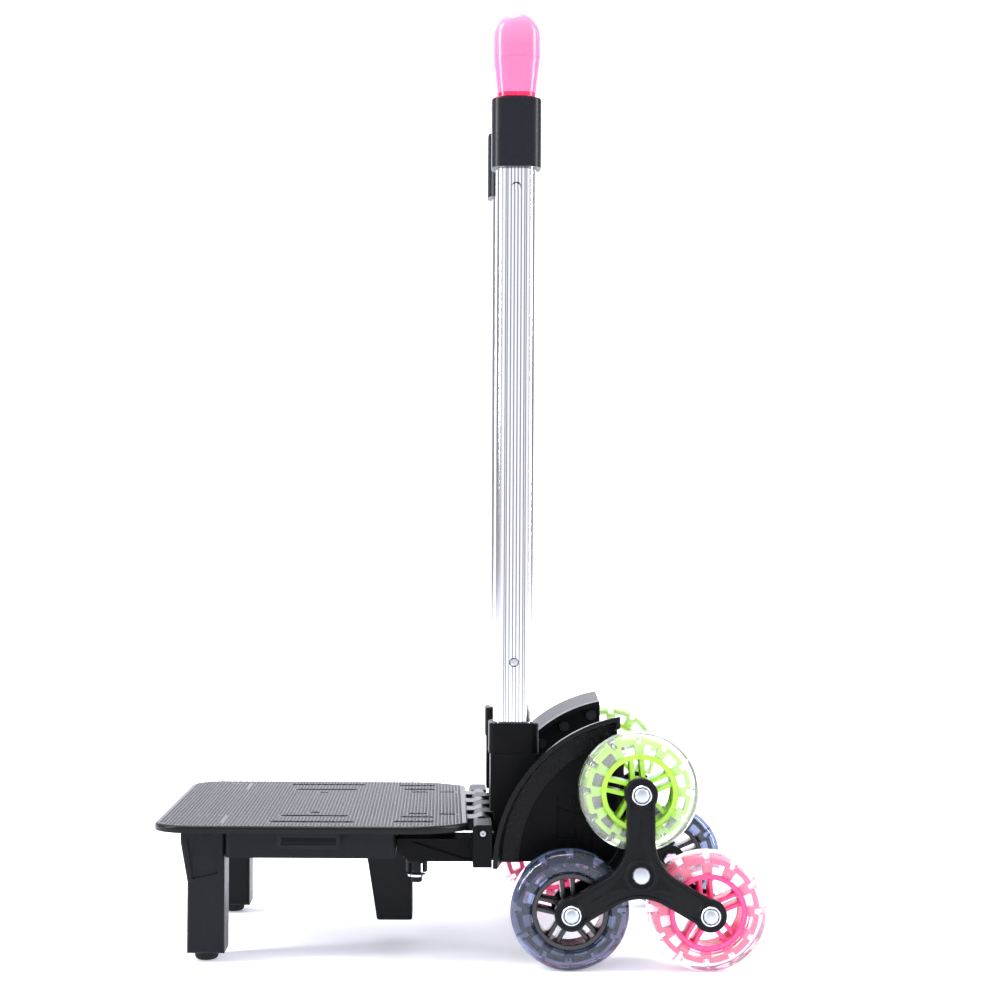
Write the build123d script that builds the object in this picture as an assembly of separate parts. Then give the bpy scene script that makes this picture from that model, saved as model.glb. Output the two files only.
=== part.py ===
from build123d import *
import math
import os

os.makedirs("parts", exist_ok=True)

# Folding stair climbing trolley. Millimetres, +Z up, floor at Z 0.
# The load plate points to -X, the wheels are at +X, and left is -Y.

# ------------------------------------------------------------------ driving sizes
# Overall
overall_length = 392.7        # front edge of the load plate to the rear wheel
front_end = -overall_length / 2
rear_end = overall_length / 2
fit_gap = 0.1                 # between pieces of one body that slip together
running_gap = 0.05            # radial, shaft in bore
sliding_gap = 0.15            # handle tubes in their guides
body_gap = 0.5                # between pieces that move past each other

# Wheels: a spoked core in a clear moulded tyre
wheel_radius = 38.0
wheel_width = 24.0
tyre_shoulder = 6.5
rim_radius = wheel_radius - 5.0
rim_width = 8.0
ring_radius = wheel_radius - 13.5
ring_wall = 3.2
ring_width = 20.0
window_count = 12
window_radius = wheel_radius - 7.8
window_width = 7.8
notch_width = 3.6
notch_depth = 2.6
spoke_pairs = 5
spoke_width = 2.9
spoke_gap = 3.8
spoke_depth = 14.0
wheel_hub_radius = 8.0

# Spiders: two three-armed plates with three wheels between them
spider_reach = 50.5           # hub axis to wheel axis
wheel_mid_y = 101.0           # centre of the spider to the middle of the trolley
arm_gap = 2.0                 # tyre to arm plate
outer_arm_thickness = 7.0
inner_arm_thickness = 6.0
arm_half_width = 8.9
arm_boss_radius = 10.5
arm_blend = 30.0
arm_edge = 1.0
arm_panel_margin = 2.2
arm_panel_depth = 0.8
ridge_half_width = 1.2
ridge_blend = 54.0
ridge_reach = 33.0
ridge_height = 0.5            # above the floor of the panel
hub_tube_radius = 9.0
hub_recess_radius = 8.0
hub_recess_depth = 2.5
hub_ring_width = 2.0
sleeve_radius = 5.0
wheel_bolt_radius = 3.0
bolt_head_radius = 6.3
bolt_head_height = 3.5
bolt_flange_height = 1.0
nut_across_flats = 10.0
nut_height = 4.5
axle_radius = 5.0
axle_bolt_radius = 3.0
axle_bolt_depth = 14.0
axle_head_radius = 5.6
axle_head_height = 3.2
axle_washer_radius = 7.4
axle_washer_height = 1.2

# Load plate
plate_top = 91.0
plate_thickness = 4.8
plate_half_width = 108.0
plate_front_radius = 22.0
plate_rear_radius = 51.9
plate_rear_centre_x = rear_end - 230.35   # centre of the round rear corners
plate_rear_x = rear_end - 189.75
plate_edge = 2.2
slot_width = 5.5
mark_depth = 1.4

# Hinge between the plate and the rear housing
hinge_x = rear_end - 180.75
hinge_z = 85.2
knuckle_radius = 6.5
knuckle_span = 66.0           # half the length of the row of knuckles
knuckle_count = 7
knuckle_gap = 0.6
knuckle_root = 8.0            # how far the knuckles' roots reach under the deck
hinge_pin_radius = 2.0
hinge_pin_bore = 0.9
hinge_pin_bore_depth = 3.0
hinge_pin_well_radius = hinge_pin_radius + 0.9   # round sinking in the cheek, where the pin's end shows
hinge_pin_well_depth = 1.0
hinge_pin_edge = 0.4
cheek_half_length = 6.4
cheek_top = 5.6               # above the hinge axis
cheek_round = 3.0
recess_clearance = 1.2
recess_height = 10.3          # top of the knuckles' recess above the hinge axis

# Underframe and legs below the plate
under_front_x = front_end + 45.95
under_rear_x = rear_end - 237.15
under_half_width = 95.0
under_bottom = 68.5
under_wall = 3.0
rib = 2.2
leg_front_x = front_end + 17.15
leg_foot_front_x = front_end + 21.45
leg_knee_z = 52.0
leg_rear_x = front_end + 45.55
leg_inner_y = 64.0
leg_outer_y = 92.0
leg_bottom = 6.0
leg_wall = 2.6
leg_panel_depth = 1.5
foot_x = front_end + 32.75
foot_radius = 7.8
foot_stem_radius = 3.9
foot_stem_length = 5.0
centre_leg_half_width = 18.0
centre_leg_bottom = 13.0
centre_leg_top_front_x = rear_end - 263.35
centre_leg_foot_front_x = rear_end - 251.35
centre_leg_rear_x = rear_end - 227.15
flange_width = 10.0
flange_thickness = 3.2
small_screw_radius = 2.0
small_head_radius = 3.6
small_head_height = 2.2

# Strap loops on the long edges of the plate
loop_x = front_end + 100.75
loop_length = 40.2
loop_height = 9.7
loop_bar = 2.5
loop_top_bar = 2.5
loop_thickness = 2.5
loop_inset = 1.0

# Rear housing
housing_bottom = 62.7
housing_half_width = 70.0
housing_wall = 3.0
housing_front_x = rear_end - 175.45
housing_rear_x = rear_end - 92.35
beam_top = 124.0
rear_wall_top = 86.0
rib_y = 22.0
panel_depth = 2.2             # of the ribbed panel in each side
panel_rib_width = 1.4
boss_radius = 12.0
boss_half_length = 80.6
gusset_x = rear_end - 108.35
gusset_top = 90.0
support_radius = 9.0
frame_arm_front_x = rear_end - 236.65
frame_arm_inner_y = 50.0
frame_arm_outer_y = 76.0
frame_arm_bottom = 63.5
frame_arm_top = 78.5
frame_arm_wall = 3.4
frame_arm_wedge_depth = 1.6
frame_arm_nose = 8.0          # chamfer under the tip
frame_arm_solid = 25.3        # solid length in front of the hinge recess

# Wheel arches
arch_offset = 6.5             # arch centre behind the spider hub
arch_radius = 99.2
arch_flare = 4.2              # how much wider the arch is at its rim than at the housing
arch_thickness = 3.0
arch_inner_y = 60.0
arch_screw_bite = 1.6         # into the arch's flange
arch_outer_y = 98.0
arch_end_x = rear_end - 93.15
arch_lip_drop = 4.6
arch_lip_width = 2.4
arch_flange = 11.0
arch_flange_thickness = 2.4

# Telescopic handle
tube_x = rear_end - 160.1
tube_y = 54.0
outer_tube_width = 26.7
outer_tube_depth = 17.0
outer_tube_corner = 7.5
outer_tube_wall = 1.2
outer_tube_bottom = 100.0
outer_tube_top = 561.9
flute_count = 6
flute_pitch = 2.25
flute_width = 1.1
flute_depth = 0.45
inner_tube_width = outer_tube_width - 7.9
inner_tube_depth = outer_tube_depth - 7.2
inner_tube_corner = 4.6
inner_tube_wall = 1.2
inner_tube_bottom = 178.0
inner_flute_count = 4
handle_travel = 314.5
lock_z = 192.8
lock_radius = 3.1
socket_top = 153.2
socket_band = 20.2
socket_width = outer_tube_width + 6.0
socket_depth = outer_tube_depth + 11.0
collar_width = outer_tube_width + 6.3
collar_depth = outer_tube_depth + 7.0
collar_corner = 8.0
collar_bottom = outer_tube_top - 42.0
collar_lid = 2.0
bush_length = 32.0
bush_flange = 2.0
plug_length = 12.0
plug_lap = 6.0

# Grip and its release button
grip_gap = 3.4                # collar to grip
grip_stem_width = inner_tube_width + 6.8
grip_stem_depth = inner_tube_depth + 12.2
grip_bar_width = 31.0
grip_seam_z = outer_tube_top + 30.5
grip_bar_drop = 10.0
grip_half_width = 68.0
grip_wall = 3.0
grip_straight = 14.5          # cap side below its round top
grip_end_radius = 10.0
button_half_width = 5.7
button_half_length = 18.0
button_travel = 4.0
yoke_half_width = 4.0
yoke_thickness = 4.0
rod_radius = 1.5
rod_bottom = 222.0
clip_length = 34.0
clip_width = 7.0
clip_thickness = 0.8
spring_radius = 3.4
spring_wire = 0.7

# Spring latch under the left frame arm
latch_x = rear_end - 223.65
latch_y = 60.0
latch_boss_radius = 9.0
latch_sleeve_radius = 7.3
latch_sleeve_bottom = 54.5
latch_sleeve_slots = 6
latch_slot_width = 3.2
latch_stem_radius = 2.9
latch_button_radius = 3.7
latch_button_bottom = 47.3
latch_button_top = 51.4
latch_ring_radius = 6.1
latch_ring_height = 1.3
latch_travel = 5.0
latch_tube_radius = 5.1
latch_tube_height = 11.0
latch_tube_wall = 0.7
latch_shoulder_z = 71.5
latch_shoulder_height = 2.0
latch_wire = 0.6

# ------------------------------------------------------------------ worked out places
plate_bottom = plate_top - plate_thickness
rise = spider_reach * math.sin(math.radians(30))
run = spider_reach * math.cos(math.radians(30))
hub_x = rear_end - wheel_radius - run
hub_z = wheel_radius + rise
wheel_places = {"top": (0.0, spider_reach), "front": (-run, -rise), "rear": (run, -rise)}
spoke_tilt = 5.0              # the first pair of spokes leans back from upright
tyre_inner_y = wheel_mid_y - wheel_width / 2
tyre_outer_y = wheel_mid_y + wheel_width / 2
inner_arm_y = (tyre_inner_y - arm_gap - inner_arm_thickness, tyre_inner_y - arm_gap)
outer_arm_y = (tyre_outer_y + arm_gap, tyre_outer_y + arm_gap + outer_arm_thickness)
hub_floor_y = outer_arm_y[1] - hub_recess_depth
axle_end_y = hub_floor_y + 0.3
arch_x = hub_x + arch_offset
arch_root_radius = arch_radius - arch_flare
recess_radius = knuckle_radius + recess_clearance
recess_x = hinge_x + recess_radius
recess_z = hinge_z + recess_height
collar_top = outer_tube_top + bush_flange + collar_lid
grip_bottom = collar_top + grip_gap
grip_bar_bottom = grip_seam_z - grip_bar_drop
inner_tube_top = grip_bar_bottom + 4.0
cap_axis_z = grip_seam_z + grip_straight
grip_top = cap_axis_z + grip_bar_width / 2
yoke_bottom = grip_seam_z + button_travel + 0.5
yoke_top = yoke_bottom + yoke_thickness
spring_well = 8.0
latch_spring_radius = latch_tube_radius - latch_tube_wall - sliding_gap


# ------------------------------------------------------------------ small helpers
def block(x, y, z):
    """A box between the limits x, y and z, each a (low, high) pair."""
    middle = [(low + high) / 2 for low, high in (x, y, z)]
    size = [high - low for low, high in (x, y, z)]
    return Pos(*middle) * Box(*size)


def rod_y(x, z, radius, y_from, y_to):
    """A round bar along Y."""
    turned = Rot(90, 0, 0) * Cylinder(radius, abs(y_to - y_from))
    return Pos(x, (y_from + y_to) / 2, z) * turned


def rod_z(x, y, radius, z_from, z_to):
    """A round bar along Z."""
    return Pos(x, y, (z_from + z_to) / 2) * Cylinder(radius, z_to - z_from)


def slab_y(outline, y_from, y_to):
    """An outline drawn in X and Z, as thick as from y_from to y_to."""
    plane = Plane(origin=(0, max(y_from, y_to), 0), x_dir=(1, 0, 0), z_dir=(0, -1, 0))
    return extrude(plane * outline, amount=abs(y_to - y_from))


def column(outline, x, y, z_from, z_to):
    """An outline drawn in X and Y, standing from z_from to z_to."""
    return extrude(Pos(x, y, z_from) * outline, amount=z_to - z_from)


def polygon(*points):
    """A flat face with straight sides through the points."""
    return make_face(Polyline(*points, close=True))


def right(part):
    """The right-hand twin of a left-hand piece."""
    return mirror(part, about=Plane.XZ)


def both(part):
    """A left-hand shape together with its right-hand twin."""
    return part + right(part)


def oval(width, depth, corner):
    return RectangleRounded(width, depth, corner)


def upright_edges(part):
    return part.edges().filter_by(Axis.Z)


def keep(name, part):
    """Writes one piece. Several separate solids stay separate."""
    solids = part.solids()
    shape = solids[0] if len(solids) == 1 else Compound(children=list(solids))
    shape.label = name
    export_step(shape, f"parts/{name}.step")


def group(*parts):
    """Separate solids of one kind that share a node."""
    return Compound(children=[solid for part in parts for solid in part.solids()])


# ------------------------------------------------------------------ wheels
def wheel_core():
    """Spoked core, its axis on Y through the origin."""
    half_rim = rim_width / 2
    half_ring = ring_width / 2
    ring_inside = ring_radius - ring_wall
    rim = rod_y(0, 0, rim_radius, -half_rim, half_rim)
    for i in range(window_count):
        turn = Rot(0, i * 360 / window_count, 0)
        window = block(
            (ring_radius, window_radius), (-half_rim, half_rim), (-window_width / 2, window_width / 2)
        )
        notch_x = (rim_radius - notch_depth, rim_radius + 1)
        notch = block(notch_x, (-half_rim, half_rim), (-notch_width / 2, notch_width / 2))
        between = Rot(0, (i + 0.5) * 360 / window_count, 0)
        rim -= turn * window
        rim -= between * notch
    core = rim + rod_y(0, 0, ring_radius, -half_ring, half_ring)
    core -= rod_y(0, 0, ring_inside, -half_ring, half_ring)
    half_hub = wheel_width / 2 + arm_gap - 0.3
    core += rod_y(0, 0, wheel_hub_radius, -half_hub, half_hub)
    offset = (spoke_gap + spoke_width) / 2
    for i in range(spoke_pairs):
        turn = Rot(0, -(90 + spoke_tilt + i * 360 / spoke_pairs), 0)
        for side in (-offset, offset):
            bar = block(
                (wheel_hub_radius - 2, ring_inside + 0.6),
                (-spoke_depth / 2, spoke_depth / 2),
                (side - spoke_width / 2, side + spoke_width / 2),
            )
            core += turn * bar
    return core - rod_y(0, 0, sleeve_radius + running_gap, -half_hub, half_hub)


def wheel_tyre():
    """Clear tyre moulded round the core's rim, its axis on Y."""
    low = ring_radius + fit_gap
    section = Pos((low + wheel_radius) / 2, 0) * Rectangle(wheel_radius - low, wheel_width)
    tread = section.vertices().sort_by(Axis.X)[-2:]
    section = fillet(tread, tyre_shoulder)
    edge = section.vertices().sort_by(Axis.X)[:2]
    section = chamfer(edge, 1.6)
    groove_top = rim_radius + fit_gap
    section -= Pos((low + groove_top) / 2, 0) * Rectangle(groove_top - low, rim_width)
    return revolve(section, axis=Axis.Y)


# ------------------------------------------------------------------ spiders
def star(half_width, boss, blend, reach=spider_reach):
    """Three arms at 120 degrees, one of them up, with a round boss at each end."""
    arms = Sketch()
    for angle in (90, 210, 330):
        arms += Rot(0, 0, angle) * Pos(reach / 2, 0) * Rectangle(reach, 2 * half_width)
    waist = arms.vertices().sort_by_distance((0, 0, 0))[:3]
    arms = fillet(waist, blend)
    for angle in (90, 210, 330):
        arms += Rot(0, 0, angle) * Pos(reach, 0) * Circle(boss)
    return arms


def at_hub(part):
    return Pos(hub_x, 0, hub_z) * part


def outer_arm():
    """Left outer arm plate with the hub tube that spaces it from the inner one."""
    near, far = outer_arm_y
    plate = slab_y(star(arm_half_width, arm_boss_radius, arm_blend), -near, -far)
    face_edges = plate.edges().filter_by_position(Axis.Y, -far, -far)
    plate = fillet(face_edges, arm_edge)
    floor = far - arm_panel_depth
    margin = arm_panel_margin
    panel = star(arm_half_width - margin, 0.5, arm_blend + margin)
    for angle in (90, 210, 330):
        panel -= Rot(0, 0, angle) * Pos(spider_reach, 0) * Circle(arm_boss_radius)
    panel -= Circle(hub_recess_radius + hub_ring_width)
    plate -= slab_y(panel, -floor, -far)
    ridge = star(ridge_half_width, ridge_half_width, ridge_blend, ridge_reach)
    plate += slab_y(ridge, -floor + 0.5, -floor - ridge_height)
    plate += rod_y(0, 0, hub_tube_radius, -near - 0.5, -inner_arm_y[1])
    plate -= rod_y(0, 0, hub_recess_radius, -far, -hub_floor_y)
    plate -= rod_y(0, 0, axle_radius + running_gap, -far, -inner_arm_y[1])
    for x, z in wheel_places.values():
        plate -= rod_y(x, z, wheel_bolt_radius + fit_gap, -far, -near)
    return at_hub(plate)


def inner_arm():
    """Left inner arm plate."""
    near, far = inner_arm_y
    plate = slab_y(star(arm_half_width, arm_boss_radius, arm_blend), -near, -far)
    face_edges = plate.edges().filter_by_position(Axis.Y, -near, -near)
    plate = fillet(face_edges, arm_edge)
    plate -= rod_y(0, 0, axle_radius + running_gap, -far, -near)
    for x, z in wheel_places.values():
        plate -= rod_y(x, z, wheel_bolt_radius + fit_gap, -far, -near)
    return at_hub(plate)


def wheel_bolts():
    """Flanged bolts that carry the three left wheels."""
    face = outer_arm_y[1]
    top = face + bolt_head_height
    tail = inner_arm_y[0] - nut_height - 0.5
    bolts = []
    for x, z in wheel_places.values():
        head = rod_y(x, z, bolt_head_radius - 1.2, -face, -top)
        crown = head.edges().filter_by_position(Axis.Y, -top, -top)
        head = fillet(crown, 1.2)
        flange = rod_y(x, z, bolt_head_radius, -face, -face - bolt_flange_height)
        shank = rod_y(x, z, wheel_bolt_radius, -tail, -face)
        bolts.append(at_hub(head + flange + shank))
    return group(*bolts)


def wheel_nuts():
    """Lock nuts on the inner side of the left spider."""
    low = inner_arm_y[0] - nut_height
    nuts = []
    for x, z in wheel_places.values():
        hexagon = RegularPolygon(nut_across_flats / 2, 6, major_radius=False)
        nut = Pos(x, 0, z) * slab_y(hexagon, -low, -inner_arm_y[0])
        nut -= rod_y(x, z, wheel_bolt_radius + fit_gap, -low, -inner_arm_y[0])
        nuts.append(at_hub(nut))
    return group(*nuts)


def wheel_sleeves():
    """Steel sleeves between the arm plates, which the left wheels run on."""
    low = inner_arm_y[1]
    high = outer_arm_y[0]
    sleeves = []
    for x, z in wheel_places.values():
        sleeve = rod_y(x, z, sleeve_radius, -low, -high)
        sleeve -= rod_y(x, z, wheel_bolt_radius + fit_gap, -low, -high)
        sleeves.append(at_hub(sleeve))
    return group(*sleeves)


def axle():
    """Steel axle through the rear housing, drilled and tapped at both ends."""
    bar = rod_y(hub_x, hub_z, axle_radius, -axle_end_y, axle_end_y)
    for side in (-1, 1):
        depth = side * (axle_end_y - axle_bolt_depth)
        bar -= rod_y(hub_x, hub_z, axle_bolt_radius + fit_gap, side * axle_end_y, depth)
    return bar


def axle_bolts():
    """Flanged bolts that hold the spiders on the axle."""
    flange_top = axle_end_y + axle_washer_height
    head_top = flange_top + axle_head_height
    head = rod_y(0, 0, axle_head_radius, -flange_top, -head_top)
    head = fillet(head.edges().filter_by_position(Axis.Y, -head_top, -head_top), 1.0)
    flange = rod_y(0, 0, axle_washer_radius, -axle_end_y, -flange_top)
    shank_end = axle_end_y - axle_bolt_depth + 1
    shank = rod_y(0, 0, axle_bolt_radius, -shank_end, -axle_end_y)
    bolt = at_hub(head + flange + shank)
    return group(bolt, right(bolt))


# ------------------------------------------------------------------ load plate
plate_slots = (
    # distance from the middle, first X, last X
    (89.0, front_end + 73.95, front_end + 129.45),
    (63.0, front_end + 78.95, front_end + 124.45),
    (86.0, rear_end - 239.25, rear_end - 212.05),
    (66.0, rear_end - 235.15, rear_end - 212.15),
)
plate_marks = (
    (48.0, front_end + 97.25, front_end + 104.35),
    (52.0, rear_end - 229.75, rear_end - 216.75),
    (53.0, rear_end - 209.55, rear_end - 197.75),
)
rest_pad_x = (rear_end - 232.35, rear_end - 198.35)
rest_pad_y = (53.0, 61.5)
under_rib_y = (-76.0, -38.0, 0.0, 38.0, 76.0)
under_rib_x = (front_end + 68.35, rear_end - 259.85)


def knuckle_limits(first):
    """The Y limits of every second knuckle, starting with number first."""
    pitch = 2 * knuckle_span / knuckle_count
    for i in range(first, knuckle_count, 2):
        low = -knuckle_span + i * pitch
        yield low + knuckle_gap / 2, low + pitch - knuckle_gap / 2


def plate_outline(inset=0.0):
    """The load plate seen from above: small round corners in front, large ones at the hinge."""
    rear_x = plate_rear_centre_x + plate_rear_radius
    length = rear_x - front_end
    sheet = Pos((rear_x + front_end) / 2, 0) * Rectangle(length, 2 * plate_half_width)
    sheet = fillet(sheet.vertices().sort_by(Axis.X)[:2], plate_front_radius)
    sheet = fillet(sheet.vertices().sort_by(Axis.X)[-2:], plate_rear_radius)
    trim = Pos((plate_rear_x + front_end) / 2, 0)
    return sheet & trim * Rectangle(plate_rear_x - front_end, 2 * plate_half_width)


def load_plate():
    """The deck with its strap slots, rest pads and every second hinge knuckle."""
    deck = extrude(Pos(0, 0, plate_bottom) * plate_outline(), amount=plate_thickness)
    rim = deck.faces().sort_by(Axis.Z)[-1].edges()
    deck = fillet(rim, plate_edge)
    for y, x_from, x_to in plate_slots:
        middle = (x_from + x_to) / 2
        slot = column(
            SlotOverall(x_to - x_from, slot_width), middle, -y, plate_bottom - 1, plate_top + 1
        )
        deck -= both(slot)
    for y, x_from, x_to in plate_marks:
        middle = (x_from + x_to) / 2
        mark = column(
            SlotOverall(x_to - x_from, slot_width - 1), middle, -y, plate_top - mark_depth, plate_top + 1
        )
        deck -= both(mark)
    pad_y = (-rest_pad_y[1], -rest_pad_y[0])
    deck += both(block(rest_pad_x, pad_y, (frame_arm_top, plate_bottom + 0.5)))
    for low, high in knuckle_limits(0):
        deck += rod_y(hinge_x, hinge_z, knuckle_radius, low, high)
        deck += block((plate_rear_x - knuckle_root, hinge_x), (low, high), (hinge_z - 2.5, plate_top - 0.8))
    return deck - rod_y(
        hinge_x, hinge_z, hinge_pin_radius + running_gap + 0.02, -knuckle_span, knuckle_span
    )


def underframe():
    """Ribbed skirt that stiffens the deck from below."""
    x = (under_front_x, under_rear_x)
    y = (-under_half_width, under_half_width)
    z = (under_bottom, plate_bottom)
    tray = block(x, y, z)
    tray = fillet(upright_edges(tray), 4.0)
    inner_x = (x[0] + under_wall, x[1] - under_wall)
    inner_y = (y[0] + under_wall, y[1] - under_wall)
    tray -= block(inner_x, inner_y, z)
    for y_rib in under_rib_y:
        tray += block(inner_x, (y_rib - rib / 2, y_rib + rib / 2), z)
    for x_rib in under_rib_x:
        tray += block((x_rib - rib / 2, x_rib + rib / 2), inner_y, z)
    gap = centre_leg_half_width + flange_width + body_gap
    tray -= block((centre_leg_top_front_x - 1.5, under_rear_x + 1), (-gap, gap), z)
    for x_screw, y_screw in underframe_screw_places:
        post = rod_z(x_screw, y_screw, small_head_radius + 1.6, under_bottom + 4, plate_bottom)
        tray += post
        tray -= rod_z(x_screw, y_screw, small_screw_radius, under_bottom + 4, plate_bottom)
    return tray


underframe_screw_x = (front_end + 62.85, rear_end - 248.35)
leg_screw_x = (front_end + 24.35, front_end + 38.35)
centre_screw_x = (rear_end - 256.35, rear_end - 233.85)
underframe_screw_places = [
    (underframe_screw_x[end], side * y)
    for end, y in ((0, 87.0), (0, 30.0), (1, 87.0), (1, 43.5))
    for side in (-1, 1)
]
leg_screw_places = [(x, side * (leg_inner_y - 5.0)) for x in leg_screw_x for side in (-1, 1)]
centre_screw_places = [
    (x, side * (centre_leg_half_width + 5.0)) for x in centre_screw_x for side in (-1, 1)
]


def plate_screws():
    """Self-tapping screws that hold the underframe and the legs to the deck."""
    grip = plate_thickness - 1.4
    screws = []
    for x, y in underframe_screw_places:
        seat = under_bottom + 4
        screws.append((x, y, seat))
    for x, y in leg_screw_places + centre_screw_places:
        screws.append((x, y, plate_bottom - flange_thickness))
    solids = []
    for x, y, seat in screws:
        head = rod_z(x, y, small_head_radius, seat - small_head_height, seat)
        head -= block((x - 2.4, x + 2.4), (y - 0.5, y + 0.5), (seat - small_head_height, seat - 1.2))
        head -= block((x - 0.5, x + 0.5), (y - 2.4, y + 2.4), (seat - small_head_height, seat - 1.2))
        solids.append(head + rod_z(x, y, small_screw_radius - fit_gap, seat, plate_bottom + grip - 1))
    return group(*solids)


def drill_deck(deck):
    """Blind pilot holes for the screws in the underside of the deck."""
    grip = plate_thickness - 1.4
    for x, y in underframe_screw_places + leg_screw_places + centre_screw_places:
        deck -= rod_z(x, y, small_screw_radius, plate_bottom - 1, plate_bottom + grip)
    return deck


def front_leg():
    """Left front leg, a hollow box that tapers to its foot."""
    outline = polygon(
        (leg_front_x, plate_bottom),
        (leg_rear_x, plate_bottom),
        (leg_rear_x, leg_bottom),
        (leg_foot_front_x, leg_bottom),
        (leg_foot_front_x, leg_knee_z),
        (leg_front_x, plate_bottom - 10.0),
    )
    leg = slab_y(outline, -leg_inner_y, -leg_outer_y)
    corners = leg.edges().filter_by(Axis.Y, reverse=True).filter_by(
        lambda edge: edge.length > 20 and edge.center().Z < plate_bottom - 8
    )
    leg = fillet(corners, 2.4)
    panel = polygon(
        (leg_front_x + 4.2, plate_bottom - 6),
        (leg_rear_x - 4.0, plate_bottom - 6),
        (leg_rear_x - 4.0, leg_knee_z + 6),
        (leg_foot_front_x + 3.6, leg_knee_z + 2),
    )
    leg -= slab_y(panel, -leg_outer_y + leg_panel_depth, -leg_outer_y)
    wall = leg_wall + leg_panel_depth
    hollow = polygon(
        (leg_front_x + leg_wall, plate_bottom),
        (leg_rear_x - leg_wall, plate_bottom),
        (leg_rear_x - leg_wall, leg_bottom + 3),
        (leg_foot_front_x + leg_wall, leg_bottom + 3),
    )
    leg -= slab_y(hollow, -leg_inner_y - leg_wall, -leg_outer_y + wall)
    flange_z = (plate_bottom - flange_thickness, plate_bottom)
    flange_y = (-leg_inner_y - 0.5, -leg_inner_y + flange_width)
    leg += block((leg_front_x + 2.5, leg_rear_x - 2.5), flange_y, flange_z)
    for x, y in leg_screw_places:
        if y < 0:
            leg -= rod_z(x, y, small_screw_radius, *flange_z)
    middle = -(leg_inner_y + leg_outer_y) / 2
    return leg - rod_z(foot_x, middle, foot_stem_radius + fit_gap, leg_bottom, leg_bottom + 3)


def rubber_foot():
    """Domed rubber foot of the left leg, pushed into the leg by its stem."""
    middle = -(leg_inner_y + leg_outer_y) / 2
    foot = rod_z(foot_x, middle, foot_radius, 0, leg_bottom)
    foot = fillet(foot.edges().filter_by_position(Axis.Z, 0, 0), 3.2)
    return foot + rod_z(foot_x, middle, foot_stem_radius, leg_bottom, leg_bottom + foot_stem_length)


def centre_leg():
    """Short prop behind the middle of the plate, for steps and kerbs."""
    outline = polygon(
        (centre_leg_top_front_x, plate_bottom),
        (centre_leg_rear_x, plate_bottom),
        (centre_leg_rear_x, centre_leg_bottom),
        (centre_leg_foot_front_x, centre_leg_bottom),
    )
    half = centre_leg_half_width
    leg = slab_y(outline, -half, half)
    corners = leg.edges().filter_by(lambda edge: edge.length > 50)
    leg = fillet(corners, 2.4)
    base = leg.edges().filter_by_position(Axis.Z, centre_leg_bottom, centre_leg_bottom)
    leg = fillet(base, 1.2)
    hollow = polygon(
        (centre_leg_top_front_x + 3.2, plate_bottom),
        (centre_leg_rear_x - leg_wall, plate_bottom),
        (centre_leg_rear_x - leg_wall, centre_leg_bottom + 3),
        (centre_leg_foot_front_x + 3.2, centre_leg_bottom + 3),
    )
    leg -= slab_y(hollow, -half + leg_wall, half - leg_wall)
    flange_z = (plate_bottom - flange_thickness, plate_bottom)
    flange_x = (centre_leg_top_front_x + 2.5, centre_leg_rear_x - 2.5)
    for y in ((-half - flange_width, -half + 0.5), (half - 0.5, half + flange_width)):
        leg += block(flange_x, y, flange_z)
    for x, y in centre_screw_places:
        leg -= rod_z(x, y, small_screw_radius, *flange_z)
    return leg


def strap_loop():
    """Open strap loop under the left edge of the plate."""
    x = (loop_x - loop_length / 2, loop_x + loop_length / 2)
    z = (plate_bottom - loop_height, plate_bottom)
    outer_y = -plate_half_width + loop_inset
    y = (outer_y, outer_y + loop_thickness)
    frame = block(x, y, z)
    frame = fillet(frame.edges().filter_by(Axis.Y).sort_by(Axis.Z)[:2], 1.6)
    opening = block(
        (x[0] + loop_bar, x[1] - loop_bar), y, (z[0] + loop_bar, z[1] - loop_top_bar)
    )
    return frame - opening


# ------------------------------------------------------------------ rear housing
panel_x = (rear_end - 131.75, rear_end - 123.85, rear_end - 96.35)
panel_z = (77.0, 90.0, 105.0, 109.5)
panel_rib_x = (rear_end - 120.85, rear_end - 108.35)
panel_brace_z = (86.9, 97.3)    # middle of the sloping rib, at its low and its high end


def panel_outline():
    """Five-sided sunk panel in the side of the housing, high in front."""
    front, peak, rear = panel_x
    low, rear_top, front_top, top = panel_z
    return polygon((front, low), (front, front_top), (peak, top), (rear, rear_top), (rear, low))


def panel_ribs():
    """Two upright ribs and one sloping rib across the sunk panel."""
    front, peak, rear = panel_x
    low_end, high_end = panel_brace_z
    half = panel_rib_width / 2
    ribs = polygon(
        (front, high_end - half), (rear, low_end - half), (rear, low_end + half), (front, high_end + half)
    )
    height = panel_z[-1] - panel_z[0]
    for x in panel_rib_x:
        ribs += Pos(x, panel_z[0] + height / 2) * Rectangle(panel_rib_width, height)
    return ribs & panel_outline()


def side_wall():
    """Left side wall of the housing, under the wheel arch, with its ribbed panel."""
    under_arch = Pos(arch_x, hub_z) * Circle(arch_root_radius - arch_thickness - 0.3)
    box_x = (recess_x, housing_rear_x)
    box_z = (housing_bottom, 165.0)
    middle = ((box_x[0] + box_x[1]) / 2, (box_z[0] + box_z[1]) / 2)
    wall = under_arch & Pos(*middle) * Rectangle(box_x[1] - box_x[0], box_z[1] - box_z[0])
    face = -housing_half_width
    side = slab_y(wall, face, face + housing_wall)
    side -= slab_y(panel_outline(), face, face + panel_depth)
    return side + slab_y(panel_ribs(), face + 0.5, face + panel_depth + 0.2)


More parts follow.
